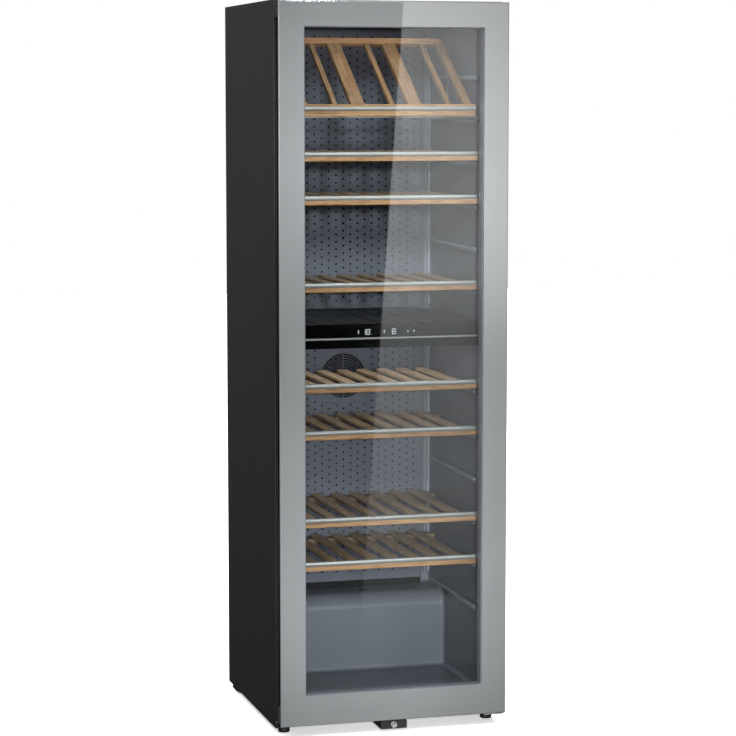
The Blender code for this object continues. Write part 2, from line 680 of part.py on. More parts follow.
# ---------------------------------------------------------------- door
def door():
    plate_back = DOOR_FRONT + 0.0042
    frame_outer = (-WIDTH / 2, DOOR_BOTTOM, WIDTH / 2, DOOR_TOP)
    window = (-WINDOW_HALF, WINDOW_BOTTOM, WINDOW_HALF, WINDOW_TOP)
    ring("door_front_frame", frame_outer, window, DOOR_FRONT, plate_back, "door_silver")
    glass_low = (-WINDOW_HALF + GAP, DOOR_FRONT + 0.0002, WINDOW_BOTTOM + GAP)
    block("door_outer_glass", glass_low, (WINDOW_HALF - GAP, plate_back, WINDOW_TOP - GAP), "glass")
    core_front, core_back = plate_back + GAP, -0.262
    core_outer, opening = (-0.284, CORE_BOTTOM, 0.296, CORE_TOP), (-0.2375, 0.105, 0.2375, 1.796)
    core = ring("door_inner_frame", core_outer, opening, core_front, core_back, "black_plastic")
    pins = [("bottom_pin_hole", 0.02, 0.053), ("top_pin_hole", 1.831, 1.86)]
    for name, z_low, z_high in pins:
        ends = [(HINGE_X, HINGE_Y, z) for z in (z_low, z_high)]
        cut(core, rod(name, *ends, 0.0045, 16))
    cut(core, block("bolt_pocket", (-0.0065, -0.2815, 0.02), (0.0065, -0.2695, 0.046)))
    spacer_outer = (-0.2372, 0.1053, 0.2372, 1.7957)
    spacer_inner = (-0.2320, 0.1105, 0.2320, 1.7905)
    ring("door_glass_spacer", spacer_outer, spacer_inner, core_front, -0.2732, "black_plastic")
    inner_low = (spacer_outer[0], -0.2729, spacer_outer[1])
    block("door_inner_glass", inner_low, (spacer_outer[2], -0.2689, spacer_outer[3]), "glass")
    gasket_outer = (-0.285, 0.045, 0.285, 1.829)
    gasket_inner = (-0.270, 0.060, 0.270, 1.814)
    ring("door_gasket", gasket_outer, gasket_inner, core_back + GAP, CABINET_FRONT - GAP, "rubber")
    grip_low, grip_high = (-0.2985, core_front, CORE_BOTTOM), (-0.2843, core_back, CORE_TOP)
    grip = block("door_grip_strip", grip_low, grip_high, "black_plastic", 0.0008)
    channel_low, channel_high = (-0.310, core_front + 0.004, 0.075), (-0.2865, core_back - 0.002, 1.815)
    cut(grip, block("finger_channel", channel_low, channel_high))


def hinges():
    pin, cabinet_side = 0.004, CABINET_FRONT - GAP
    low, high = (HINGE_X - 0.040, HINGE_Y, 1.8493), (HINGE_X + 0.004, cabinet_side, 1.8543)
    leaf = block("top_hinge_bracket", low, high, "galvanised")
    nose = rod("top_nose", (HINGE_X, HINGE_Y, 1.8495), (HINGE_X, HINGE_Y, 1.8541), 0.010, 20)
    low, high = (HINGE_X - 0.0395, -0.2513, 1.832), (HINGE_X + 0.0035, cabinet_side - 0.0001, 1.852)
    leg = block("top_leg", low, high)
    join(leaf, nose, leg, rod("top_pin", (HINGE_X, HINGE_Y, 1.834), (HINGE_X, HINGE_Y, 1.852), pin, 16))
    foot = block("bottom_hinge_bracket", (0.244, -0.297, 0.0255), (0.298, -0.205, 0.0285), "galvanised")
    packing = block("hinge_packing", (0.2445, -0.2465, 0.0275), (0.2975, -0.2055, BASE_BOTTOM - GAP))
    join(foot, packing, rod("bottom_pin", (HINGE_X, HINGE_Y, 0.027), (HINGE_X, HINGE_Y, 0.050), pin, 16))
    cut(foot, rod("foot_clearance", (FOOT_X, FOOT_Y, 0.01), (FOOT_X, FOOT_Y, 0.04), 0.0065, 16))


def lock():
    low, high = (-0.035, DOOR_FRONT + 0.0045, 0.0065), (0.035, -0.212, 0.0285)
    housing = block("lock_housing", low, high, "black_plastic", 0.0012)
    pad = block("lock_pad", (-0.034, -0.244, 0.0275), (0.034, -0.213, BASE_BOTTOM - GAP))
    bore = rod("lock_bore", (0, -0.310, LOCK_Z), (0, -0.284, LOCK_Z), 0.0084, 28)
    slot = block("bolt_slot", (-0.0053, -0.2798, 0.0092), (0.0053, -0.2712, 0.035))
    cut(join(housing, pad), bore, slot)
    profile = [(0, 0.0165), (0.0072, 0.0165), (0.008, 0.0157), (0.008, 0), (0, 0)]
    barrel = soften(turned("lock_cylinder", profile, (0, -0.285, LOCK_Z), (0, -1, 0), "chrome", 28))
    keyway_low, keyway_high = (-0.0007, -0.310, LOCK_Z - 0.0035), (0.0007, -0.290, LOCK_Z + 0.0035)
    cut(barrel, block("keyway", keyway_low, keyway_high))
    block("lock_bolt", (-0.005, -0.2795, 0.0095), (0.005, -0.2715, 0.0283), "chrome")


# ---------------------------------------------------------------- the object
cabinet()
base_plate()
feet()
duct_panel("upper_duct_panel", 1.0505, 1.800, None)
duct_panel("lower_duct_panel", 0.2996, 0.9795, FAN_Z)
fan_grille()
upper_fan_bracket()
fan_rotor("upper_fan_rotor", 0.2045, UPPER_FAN_Z)
fan_rotor("lower_fan_rotor", 0.2010, FAN_Z)
evaporator("upper_evaporator", 1.120, 1.500)
evaporator("lower_evaporator", 0.400, 0.740)
condenser()
compressor()
drip_tray()
mains_inlet()
divider()
for index, (ledge_height, back_edge) in enumerate(SHELVES, start=1):
    shelf(index, ledge_height, back_edge)
display_rack()
door()
hinges()
lock()
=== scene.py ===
"""The looks of a two-zone wine cooler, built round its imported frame.

Metres; +X to the right as the user faces the door, -Y towards the user, +Z up. Every piece is made in
its place in the row frame, and then rides on the CAD body that it belongs to.
"""

from math import asin, copysign, cos, pi, radians, sin, tau

import bmesh
import bpy
from mathutils import Matrix, Vector

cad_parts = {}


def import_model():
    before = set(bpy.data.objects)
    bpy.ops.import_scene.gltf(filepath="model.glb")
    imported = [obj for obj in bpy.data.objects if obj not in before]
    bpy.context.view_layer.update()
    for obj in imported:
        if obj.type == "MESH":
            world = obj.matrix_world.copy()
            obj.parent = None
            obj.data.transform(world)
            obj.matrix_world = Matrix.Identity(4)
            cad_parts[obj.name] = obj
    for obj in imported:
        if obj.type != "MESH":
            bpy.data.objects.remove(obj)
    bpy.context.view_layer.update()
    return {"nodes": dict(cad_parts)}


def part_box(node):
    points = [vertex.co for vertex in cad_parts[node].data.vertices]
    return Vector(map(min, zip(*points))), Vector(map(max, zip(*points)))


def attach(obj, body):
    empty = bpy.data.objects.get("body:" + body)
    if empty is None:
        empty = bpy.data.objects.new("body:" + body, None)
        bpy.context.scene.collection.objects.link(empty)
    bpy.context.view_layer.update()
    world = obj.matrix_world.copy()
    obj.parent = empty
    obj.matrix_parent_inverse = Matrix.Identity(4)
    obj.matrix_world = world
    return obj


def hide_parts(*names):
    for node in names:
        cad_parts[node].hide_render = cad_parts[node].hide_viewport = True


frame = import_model()

# ---------------------------------------------------------------- places, mostly from the frame
UP, TO_USER = (0, 0, 1), (0, -1, 0)
GAP = 0.0003
DOOR_LOW, DOOR_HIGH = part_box("door_front_frame")
GLASS_LOW, GLASS_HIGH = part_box("door_outer_glass")
CORE_LOW, CORE_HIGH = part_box("door_inner_frame")
LINER_LOW, LINER_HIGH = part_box("inner_liner")
UPPER_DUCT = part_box("upper_duct_panel")
LOWER_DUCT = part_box("lower_duct_panel")
GRILLE_LOW, GRILLE_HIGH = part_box("lower_fan_grille")
SIDE_LOW, SIDE_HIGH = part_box("side_panel_left")

CABINET_FRONT = LINER_LOW.y
CAVITY_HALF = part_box("divider_housing")[1].x + 0.0015
CAVITY_FLOOR = 0.075
CAVITY_TOP = 1.810
CAVITY_BACK = 0.226
HUMP_TOP = 0.2805
HUMP_FRONT = 0.086
HUMP_RADIUS = 0.040
LINER_WALL = 0.0015
CORNER = 0.011
MERGED = 0.0008  # how far a moulded rib reaches into the wall that it stands on

SHELVES = range(1, 8)
SHELF_BAR = 0.0235
SLAT_PITCH = 0.055
SLAT_WIDTH = 0.027
SLATS = 8
UPPER_LEDGES = (1.671, 1.5608, 1.4506, 1.3404, 1.2302, 1.120)
LOWER_LEDGES = (0.8634, 0.7432, 0.6307, 0.5182, 0.4057, 0.2932)
RIDGE_SPANS = ((0.309, 0.9705), (1.0555, 1.795))
LEDGE_FRONT = -0.204
LEDGE_BACK = 0.190

FAN_Z = (GRILLE_LOW.z + GRILLE_HIGH.z) / 2
FAN_RADIUS = (GRILLE_HIGH.x - GRILLE_LOW.x) / 2
FAN_PLATE = 0.070
HOLE_PITCH = 0.020
HOLE_RADIUS = 0.0029
HOLE_COLUMNS = 21

RACK_ANGLE = radians(33)
RACK_LENGTH = 0.322
RACK_PITCH = 0.150
BOLT_POCKET = ((-0.0065, -0.2815, CORE_LOW.z - 0.010), (0.0065, -0.2695, 0.046))

# ---------------------------------------------------------------- studio
CAMERA_AT = (-1.751, -6.294, 1.609)
CAMERA_YAW = radians(15.67)
CAMERA_PITCH = radians(6.13)
CAMERA_LENS = 121.5

WHITE = (1, 1, 1, 1)
WALL_LOW, WALL_HIGH = 0.02, 0.33  # how bright the studio's walls are, below and above
PANEL_LIGHT = 1.3  # how much brighter the tall light panel at the front right is
PANEL_EDGE = (1.0, 0.293, -0.071)  # the panel's left edge: directions along it have no part along this


def link(obj):
    bpy.context.scene.collection.objects.link(obj)
    return obj


def camera():
    data = bpy.data.cameras.new("camera")
    data.lens = CAMERA_LENS
    data.sensor_width = 36
    data.clip_end = 60
    made = link(bpy.data.objects.new("camera", data))
    made.location = CAMERA_AT
    made.rotation_euler = (pi / 2 - CAMERA_PITCH, 0, -CAMERA_YAW)
    bpy.context.scene.camera = made


def light(name, kind, at, aim, power, mirrored=False, **settings):
    """A lamp that shines from at towards aim. Reflections show it only where mirrored is True."""
    data = bpy.data.lights.new(name, kind)
    data.energy = power
    for setting, value in settings.items():
        setattr(data, setting, value)
    made = link(bpy.data.objects.new(name, data))
    made.location = at
    made.rotation_euler = (Vector(aim) - Vector(at)).to_track_quat("-Z", "Y").to_euler()
    made.visible_camera = False
    made.visible_glossy = mirrored


def lights():
    light("sky_light", "SUN", (0, 0, 1), (0, 0, 0), 4.2, angle=radians(84))
    front, upper, lower = (0, 0, 0.9), (0.0, -0.3, 1.40), (0.0, -0.3, 0.34)
    for name, at, size, power, mirrored in (
        ("low_front_light", (-1.5, -5.5, 1.9), (2.2, 2.2), 19, False),
        ("high_front_light", (-1.2, -3.9, 4.4), (2.2, 2.2), 22, False),
        ("left_light", (-4.2, -2.6, 2.2), (1.6, 2.6), 36, True),
        ("back_light", (2.5, 4.5, 3.0), (2.5, 2.5), 170, False),
    ):
        light(name, "AREA", at, front, power, mirrored, shape="RECTANGLE", size=size[0], size_y=size[1])
    for name, at, aim, angle, power in (
        ("upper_pool", (-0.5, -3.5, 2.4), upper, 16, 1220),
        ("lower_pool", (-0.5, -3.5, 0.9), lower, 20, 860),
    ):
        cone = {"spot_size": radians(angle), "spot_blend": 1.0, "shadow_soft_size": 0.42}
        light(name, "SPOT", at, aim, power, True, **cone)
    for zone in ("upper", "lower"):
        at = (0, 0.02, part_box(f"{zone}_led_lamp")[0].z - 0.004)
        light(f"{zone}_glow", "AREA", at, (0, 0.02, 0), 0.40, shape="RECTANGLE", size=0.40, size_y=0.32)


def world():
    """A white studio. To everything but the camera, its walls darken downwards, with a black screen and
    a tall panel of light in front."""
    made = bpy.data.worlds.new("studio")
    bpy.context.scene.world = made
    made.use_nodes = True
    tree = made.node_tree
    tree.nodes.clear()
    way = node(tree, "ShaderNodeTexCoord").outputs["Generated"]
    x, y, z = node(tree, "ShaderNodeSeparateXYZ", {0: way}).outputs
    along = node(tree, "ShaderNodeVectorMath", {0: way, 1: PANEL_EDGE}, operation="DOT_PRODUCT")
    faint, full = ramp(tree, z, -0.237, -0.130, 0.0, 0.40), ramp(tree, z, -0.106, -0.064, 0.0, 0.60)
    panel = calculate(tree, "ADD", faint, full)
    left_edge = ramp(tree, along.outputs["Value"], -0.0003, 0.0003)
    right_edge = ramp(tree, x, 0.45, 0.75, 1.0, 0.0)
    top_edge = ramp(tree, z, 0.30, 0.60, 1.0, 0.0)
    front = ramp(tree, y, -0.5, -0.3, 1.0, 0.0)
    for part in (left_edge, right_edge, top_edge, front):
        panel = calculate(tree, "MULTIPLY", panel, part)
    walls = ramp(tree, z, -0.40, 0.70, WALL_LOW, WALL_HIGH)
    past_screen = calculate(tree, "MAXIMUM", ramp(tree, y, -0.75, -0.55), ramp(tree, z, 0.25, 0.50))
    walls = calculate(tree, "MULTIPLY", walls, past_screen)
    glow = calculate(tree, "MULTIPLY_ADD", panel, PANEL_LIGHT, walls)
    to_camera = node(tree, "ShaderNodeLightPath").outputs["Is Camera Ray"]
    seen = node(tree, "ShaderNodeMix", {"Factor": to_camera, "A": glow, "B": 1.0})
    background = node(
        tree, "ShaderNodeBackground", {"Color": WHITE, "Strength": seen.outputs["Result"]}
    )
    node(tree, "ShaderNodeOutputWorld", {"Surface": background.outputs[0]})


def floor():
    mesh = bpy.data.meshes.new("floor")
    reach = 14.0
    corners = [(-reach, -reach, 0), (reach, -reach, 0), (reach, reach, 0), (-reach, reach, 0)]
    mesh.from_pydata(corners, [], [(0, 1, 2, 3)])
    made = link(bpy.data.objects.new("floor", mesh))
    look, tree, shader = blank("floor")
    rough = ramp(tree, noise(tree, 3), 0.3, 0.7, 0.85, 0.95)
    fill(tree, shader, {"Base Color": (0.95, 0.95, 0.95, 1), "Specular IOR Level": 0.0, "Roughness": rough})
    fill(tree, shader, {"Emission Color": WHITE, "Emission Strength": 0.45})
    mesh.materials.append(look)
    made.visible_glossy = False
    made.visible_diffuse = False


# ---------------------------------------------------------------- material nodes
def fill(tree, target, inputs):
    """Links each input of the node to a socket, or gives it a value."""
    for key, value in inputs.items():
        if isinstance(value, bpy.types.NodeSocket):
            tree.links.new(value, target.inputs[key])
        else:
            target.inputs[key].default_value = value


def node(tree, kind, inputs=None, **settings):
    made = tree.nodes.new(kind)
    for setting, value in settings.items():
        setattr(made, setting, value)
    fill(tree, made, inputs or {})
    return made


def ramp(tree, value, start, end, low=0.0, high=1.0, kind="SMOOTHSTEP"):
    """value from start to end as low to high, clamped."""
    ends = {"Value": value, "From Min": start, "From Max": end, "To Min": low, "To Max": high}
    return node(tree, "ShaderNodeMapRange", ends, interpolation_type=kind).outputs["Result"]


def calculate(tree, operation, *values):
    return node(tree, "ShaderNodeMath", dict(enumerate(values)), operation=operation).outputs[0]


def noise(tree, scale, detail=4.0, distortion=0.0, turn=(0, 0, 0)):
    """Noise in the piece's own metres, with so many features a metre: one number, or one along each axis."""
    if isinstance(scale, int):
        scale = (scale, scale, scale)
    place = node(tree, "ShaderNodeTexCoord").outputs["Object"]
    turned = node(tree, "ShaderNodeMapping", {"Vector": place, "Rotation": turn}).outputs[0]
    stretched = node(tree, "ShaderNodeMapping", {"Vector": turned, "Scale": scale}).outputs[0]
    grain = {"Vector": stretched, "Scale": 1.0, "Detail": detail, "Distortion": distortion}
    return node(tree, "ShaderNodeTexNoise", grain).outputs["Fac"]


def colours(tree, value, *stops):
    """A colour ramp through (position, colour) stops."""
    made = node(tree, "ShaderNodeValToRGB", {"Fac": value})
    steps = made.color_ramp.elements
    while len(steps) < len(stops):
        steps.new(0.5)
    for step, (position, colour) in zip(steps, stops):
        step.position = position
        step.color = (*colour, 1)
    return made.outputs["Color"]


def relief(tree, value, strength, distance=0.0004):
    height = {"Height": value, "Strength": strength, "Distance": distance}
    return node(tree, "ShaderNodeBump", height).outputs[0]


def blank(name):
    made = bpy.data.materials.new(name)
    made.use_nodes = True
    tree = made.node_tree
    return made, tree, tree.nodes["Principled BSDF"]


# ---------------------------------------------------------------- materials
def plain(name, colour, roughness, metallic, grain, shade, depth):
    """A painted, moulded or plated surface: its grain varies colour and roughness, and stands in relief."""
    made, tree, shader = blank(name)
    fine = noise(tree, grain)
    dark = [channel * (1 - shade) for channel in colour]
    pale = [min(1.0, channel * (1 + shade)) for channel in colour]
    tone = colours(tree, noise(tree, 9, 3.0), (0.3, dark), (0.7, pale))
    rough = ramp(tree, fine, 0.3, 0.7, roughness * 0.85, roughness * 1.18)
    fill(tree, shader, {"Base Color": tone, "Roughness": rough, "Metallic": metallic})
    fill(tree, shader, {"Normal": relief(tree, fine, depth)})
    return made


def wood(name, scale, tones, turn=(0, 0, 0)):
    """Oiled beech: long soft figure, fine dark pores and a satin surface; scale is slow along the grain."""
    made, tree, shader = blank(name)
    figure = noise(tree, scale, 5.0, 0.7, turn)
    flecks = noise(tree, [part * 7 for part in scale], 3.0, 0.2, turn)
    pale, middle, deep = tones
    body = colours(tree, figure, (0.28, deep), (0.46, middle), (0.58, pale), (0.75, middle))
    pores = colours(tree, flecks, (0.36, (0.66, 0.60, 0.54)), (0.52, (1.0, 1.0, 1.0)))
    layers = {"Factor": 1.0, "A": body, "B": pores}
    mixed = node(tree, "ShaderNodeMix", layers, data_type="RGBA", blend_type="MULTIPLY").outputs["Result"]
    rough = ramp(tree, flecks, 0.3, 0.7, 0.52, 0.38)
    fill(tree, shader, {"Base Color": mixed, "Roughness": rough, "Normal": relief(tree, flecks, 0.25)})
    return made


def zinc(name):
    """Zinc-plated sheet with its crystals."""
    made, tree, shader = blank(name)
    place = node(tree, "ShaderNodeTexCoord").outputs["Object"]
    crystals = node(tree, "ShaderNodeTexVoronoi", {"Vector": place, "Scale": 85}).outputs["Color"]
    tone = node(tree, "ShaderNodeSeparateColor", {0: crystals}).outputs["Red"]
    grey = colours(tree, tone, (0.0, (0.40, 0.41, 0.42)), (1.0, (0.60, 0.61, 0.62)))
    rough = ramp(tree, tone, 0.0, 1.0, 0.34, 0.52)
    fill(tree, shader, {"Base Color": grey, "Roughness": rough, "Metallic": 0.85})
    fill(tree, shader, {"Normal": relief(tree, noise(tree, 300), 0.12)})
    return made


def pane(name, mirror):
    """Thin clear glass: it lets straight rays through, slightly tinted, and mirrors more at a flat angle."""
    made, tree, shader = blank(name)
    tree.nodes.remove(shader)
    clear = node(tree, "ShaderNodeBsdfTransparent", {"Color": (0.965, 0.975, 0.975, 1)}).outputs[0]
    rough = ramp(tree, noise(tree, 14), 0.3, 0.7, 0.001, 0.006)
    shine = node(tree, "ShaderNodeBsdfGlossy", {"Roughness": rough}).outputs[0]
    behind = node(tree, "ShaderNodeNewGeometry").outputs["Backfacing"]
    index = ramp(tree, behind, 0.0, 1.0, mirror, 1 / mirror, "LINEAR")
    angle = node(tree, "ShaderNodeFresnel", {"IOR": index}).outputs[0]
    mixed = node(tree, "ShaderNodeMixShader", {"Fac": angle, 1: clear, 2: shine}).outputs[0]
    fill(tree, tree.nodes["Material Output"], {"Surface": mixed})
    return made


def lamp(name, colour, strength):
    """A frosted lens that glows."""
    made, tree, shader = blank(name)
    frost = noise(tree, 900)
    tone = colours(tree, frost, (0.3, (0.8, 0.82, 0.85)), (0.7, (0.9, 0.92, 0.95)))
    fill(tree, shader, {"Base Color": tone, "Roughness": ramp(tree, frost, 0.3, 0.7, 0.3, 0.5)})
    fill(tree, shader, {"Emission Color": (*colour, 1), "Emission Strength": strength})
    return made


def silver(name):
    """Satin silver door front under a clear gloss layer."""
    made, tree, shader = blank(name)
    brushed = noise(tree, (5, 5, 900), 3.0)
    broad = noise(tree, (2.5, 2.5, 2.5), 2.0)
    tone = colours(tree, broad, (0.3, (0.238, 0.252, 0.257)), (0.7, (0.274, 0.289, 0.294)))
    rough = ramp(tree, brushed, 0.3, 0.7, 0.36, 0.46)
    fill(tree, shader, {"Base Color": tone, "Roughness": rough, "Metallic": 0.35})
    fill(tree, shader, {"Coat Weight": 1.0, "Coat Roughness": 0.004, "Coat IOR": 2.2})
    fill(tree, shader, {"Normal": relief(tree, brushed, 0.03, 0.0002)})
    return made


PLAIN = {  # colour, roughness, metallic, grains a metre, how far the colour varies, depth of the relief
    "side_paint": ((0.016, 0.016, 0.0165), 0.28, 0.0, 900, 0.08, 0.12),
    "foam": ((0.78, 0.70, 0.50), 0.9, 0.0, 160, 0.12, 0.6),
    "liner": ((0.155, 0.163, 0.192), 0.38, 0.0, 700, 0.05, 0.10),
    # the liner's grey made lighter for the runners, ridges and ribs: painted light
    "ledge": ((0.270, 0.288, 0.335), 0.32, 0.0, 700, 0.05, 0.08),
    "duct_metal": ((0.138, 0.146, 0.180), 0.36, 0.25, 700, 0.05, 0.08),
    "black_plastic": ((0.014, 0.014, 0.015), 0.42, 0.0, 1100, 0.10, 0.25),
    "matt_black": ((0.005, 0.005, 0.005), 0.55, 0.0, 1100, 0.10, 0.2),
    "grey_plastic": ((0.045, 0.047, 0.050), 0.45, 0.0, 1100, 0.10, 0.25),
    "gloss_black": ((0.002, 0.002, 0.002), 0.06, 0.0, 60, 0.10, 0.004),
    "chrome": ((0.82, 0.83, 0.84), 0.14, 1.0, 300, 0.03, 0.02),
    "aluminium": ((0.60, 0.60, 0.585), 0.30, 0.72, (6, 1500, 1500), 0.03, 0.05),
    "satin_steel": ((0.74, 0.75, 0.76), 0.30, 0.7, 300, 0.03, 0.03),
    "gasket": ((0.022, 0.022, 0.023), 0.62, 0.0, 500, 0.10, 0.2),
    "circuit_board": ((0.020, 0.16, 0.07), 0.35, 0.0, 300, 0.2, 0.1),
    "black_paint": ((0.012, 0.012, 0.013), 0.30, 0.0, 350, 0.15, 0.2),
    "copper": ((0.72, 0.36, 0.22), 0.28, 1.0, 200, 0.15, 0.05),
    # near-black for the insides of holes and gaps: painted shade
    "hole_painted_shade": ((0.004, 0.004, 0.004), 0.8, 0.0, 200, 0.1, 0.1),
}
ALONG_X, ALONG_Y = (3.0, 42.0, 42.0), (42.0, 3.0, 42.0)
TAN = ((0.55, 0.320, 0.160), (0.47, 0.255, 0.118), (0.34, 0.170, 0.075))
DEEP_TAN = ((0.38, 0.230, 0.120), (0.32, 0.185, 0.092), (0.23, 0.125, 0.058))
PALE = ((0.56, 0.40, 0.255), (0.48, 0.335, 0.205), (0.36, 0.24, 0.145))
# the beech made darker for the cross rails: painted shade under the slats
SHADED_TAN = ((0.20, 0.130, 0.078), (0.16, 0.100, 0.060), (0.11, 0.068, 0.040))
LOOKS = {name: plain(name, *values) for name, values in PLAIN.items()}
LOOKS |= {
    "zinc_steel": zinc("zinc_steel"),
    "door_silver": silver("door_silver"),
    "glass": pane("glass", 1.50),
    "wood": wood("wood_along_x", ALONG_X, TAN),
    "wood_back": wood("wood_along_y", ALONG_Y, PALE),
    "wood_rail_painted_shade": wood("wood_rail_painted_shade", ALONG_X, SHADED_TAN),
    "wood_slope": wood("wood_along_slope", ALONG_Y, DEEP_TAN, (-RACK_ANGLE, 0, 0)),
    "led_lens": lamp("led_lens", (0.93, 0.96, 1.0), 9.0),
    "digits": lamp("digits", (0.88, 0.94, 1.0), 0.42),
}


# ---------------------------------------------------------------- shape helpers
def add(bm, part, index=0, matrix=None):
    """Moves the shape in part, turned by matrix, into bm with that material index."""
    if matrix:
        bmesh.ops.transform(part, matrix=matrix, verts=part.verts)
    for face in part.faces:
        face.material_index = index
    store = bpy.data.meshes.new("store")
    part.to_mesh(store)
    part.free()
    bm.from_mesh(store)
    bpy.data.meshes.remove(store)


def face_out(bm):
    bmesh.ops.recalc_face_normals(bm, faces=bm.faces)


def block(bm, low, high, radius=0.0, segments=2, index=0, matrix=None):
    """A box with rounded edges."""
    low, high = Vector(low), Vector(high)
    part = bmesh.new()
    size = Matrix.Diagonal((*(high - low), 1.0))
    bmesh.ops.create_cube(part, size=1.0, matrix=Matrix.Translation((low + high) / 2) @ size)
    if radius:
        bmesh.ops.bevel(
            part, geom=part.edges[:], offset=radius, segments=segments, profile=0.5, affect="EDGES"
        )
    add(bm, part, index, matrix)


def between(bm, x_ends, y_ends, z_ends, radius, segments=2):
    """A rounded box between two ends along each axis, given in either order."""
    low, high = zip(*(sorted(ends) for ends in (x_ends, y_ends, z_ends)))
    block(bm, low, high, radius, segments)


def framed(bm, loops):
    """A frame in XZ, of loops ((x0, z0, x1, z1), y), each joined to the next, the last to the first."""
    part = bmesh.new()
    rings = []
    for (x0, z0, x1, z1), y in loops:
        corners = ((x0, z0), (x1, z0), (x1, z1), (x0, z1))
        rings.append([part.verts.new((x, y, z)) for x, z in corners])
    for near, far in zip(rings, rings[1:] + rings[:1]):
        for i in range(4):
            j = (i + 1) % 4
            part.faces.new((near[i], near[j], far[j], far[i]))
    face_out(part)
    add(bm, part)


def grow(rectangle, by):
    x0, z0, x1, z1 = rectangle
    return (x0 - by, z0 - by, x1 + by, z1 + by)


def quarter(radius, steps=4):
    """Points of a rounded edge as (how far in, how far back), from the side face to the front face."""
    angles = [i * pi / 2 / steps for i in range(steps + 1)]
    return [(radius * (1 - cos(a)), radius * (1 - sin(a))) for a in angles]


def swept(bm, points, start, end, axis="X"):
    """An outline swept straight along axis, from start to end. Its points hold the other two coordinates."""
    part = bmesh.new()
    at = "XYZ".index(axis)
    rows = []
    for reach in (start, end):
        rows.append([part.verts.new((*point[:at], reach, *point[at:])) for point in points])
    for i in range(len(points)):
        j = (i + 1) % len(points)
        part.faces.new((rows[0][i], rows[0][j], rows[1][j], rows[1][i]))
    part.faces.new(rows[0])
    part.faces.new(rows[1])
    face_out(part)
    add(bm, part)


def lathe(bm, profile, centre, axis, steps=48, index=0, closed=False):
    """(radius, height) points turned round axis at centre. closed joins last to first, as on a ring."""
    part = bmesh.new()
    turns = [i * tau / steps for i in range(steps)]
    rings = []
    for radius, height in profile:
        if radius < 1e-6:
            rings.append([part.verts.new((0, 0, height))])
            continue
        rings.append([part.verts.new((radius * cos(a), radius * sin(a), height)) for a in turns])
    pairs = list(zip(rings, rings[1:]))
    if closed:
        pairs.append((rings[-1], rings[0]))
    for near, far in pairs:
        for i in range(steps):
            j = (i + 1) % steps
            corners = [near[i % len(near)], near[j % len(near)], far[j % len(far)], far[i % len(far)]]
            part.faces.new(list(dict.fromkeys(corners)))
    face_out(part)
    turn = Vector(axis).to_track_quat("Z", "Y").to_matrix().to_4x4()
    add(bm, part, index, Matrix.Translation(centre) @ turn)


def wire(bm, start, end, radius, sides=8, index=0):
    start, end = Vector(start), Vector(end)
    length = (end - start).length
    lathe(bm, [(0, 0), (radius, 0), (radius, length), (0, length)], start, end - start, sides, index)


def screw_head(bm, at, axis, radius=0.0036, index=0):
    """A domed pan head with a dished middle."""
    high = radius * 0.45
    profile = [(0, high * 0.55), (radius * 0.22, high * 0.55), (radius * 0.30, high)]
    profile += [(radius * 0.70, high * 0.9), (radius, high * 0.35), (radius, 0), (0, 0)]
    lathe(bm, profile, at, axis, 20, index)


def thicken(bm, by):
    """Gives an open sheet a wall, on the side that its faces point away from."""
    bmesh.ops.solidify(bm, geom=bm.faces[:], thickness=by)
    face_out(bm)


def carve(bm, low, high):
    """Takes a box out of a closed mesh."""
    cutter = bmesh.new()
    block(cutter, low, high, 0.0004, 1)
    made = []
    for name, source in (("carved", bm), ("carver", cutter)):
        mesh = bpy.data.meshes.new(name)
        source.to_mesh(mesh)
        made.append(link(bpy.data.objects.new(name, mesh)))
    cut = made[0].modifiers.new("cut", "BOOLEAN")
    cut.object = made[1]
    cut.operation = "DIFFERENCE"
    graph = bpy.context.evaluated_depsgraph_get()
    result = made[0].evaluated_get(graph).to_mesh()
    bm.clear()
    bm.from_mesh(result)
    cutter.free()
    for obj in made:
        bpy.data.objects.remove(obj)


def settle(made, body, nodes):
    """Puts an object on its body and makes it stand for nodes."""
    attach(made, body)
    if nodes:
        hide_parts(*nodes)


def piece(name, bm, looks, slot, *nodes, body="cabinet"):
    """Makes bm an object with these looks."""
    mesh = bpy.data.meshes.new(name)
    bm.to_mesh(mesh)
    bm.free()
    for look in looks:
        mesh.materials.append(LOOKS[look])
    for face in mesh.polygons:
        face.use_smooth = True
    mesh.set_sharp_from_angle(angle=radians(35))
    made = link(bpy.data.objects.new(name, mesh))
    shading = made.modifiers.new("shading", "WEIGHTED_NORMAL")
    shading.keep_sharp = True
    shading.weight = 90
    settle(made, body, nodes)


def bends(points, radius, steps=5):
    """The same route with each corner turned into an arc-like bend."""
    points = [Vector(point) for point in points]
    route = [points[0]]
    for before, corner, after in zip(points, points[1:], points[2:]):
        into = (before - corner).normalized() * radius
        out = (after - corner).normalized() * radius
        for i in range(steps + 1):
            t = i / steps
            route.append(corner + into * (1 - t) ** 2 + out * t**2)
    route.append(points[-1])
    return route


def pipe(name, points, radius, look, *nodes):
    """A round tube of the cooling circuit along points."""
    data = bpy.data.curves.new(name, "CURVE")
    data.dimensions = "3D"
    data.bevel_depth = radius
    data.bevel_resolution = 3
    data.use_fill_caps = True
    spline = data.splines.new("POLY")
    spline.points.add(len(points) - 1)
    for point, place in zip(spline.points, points):
        point.co = (*place, 1)
    data.materials.append(LOOKS[look])
    settle(link(bpy.data.objects.new(name, data)), "cabinet", nodes)


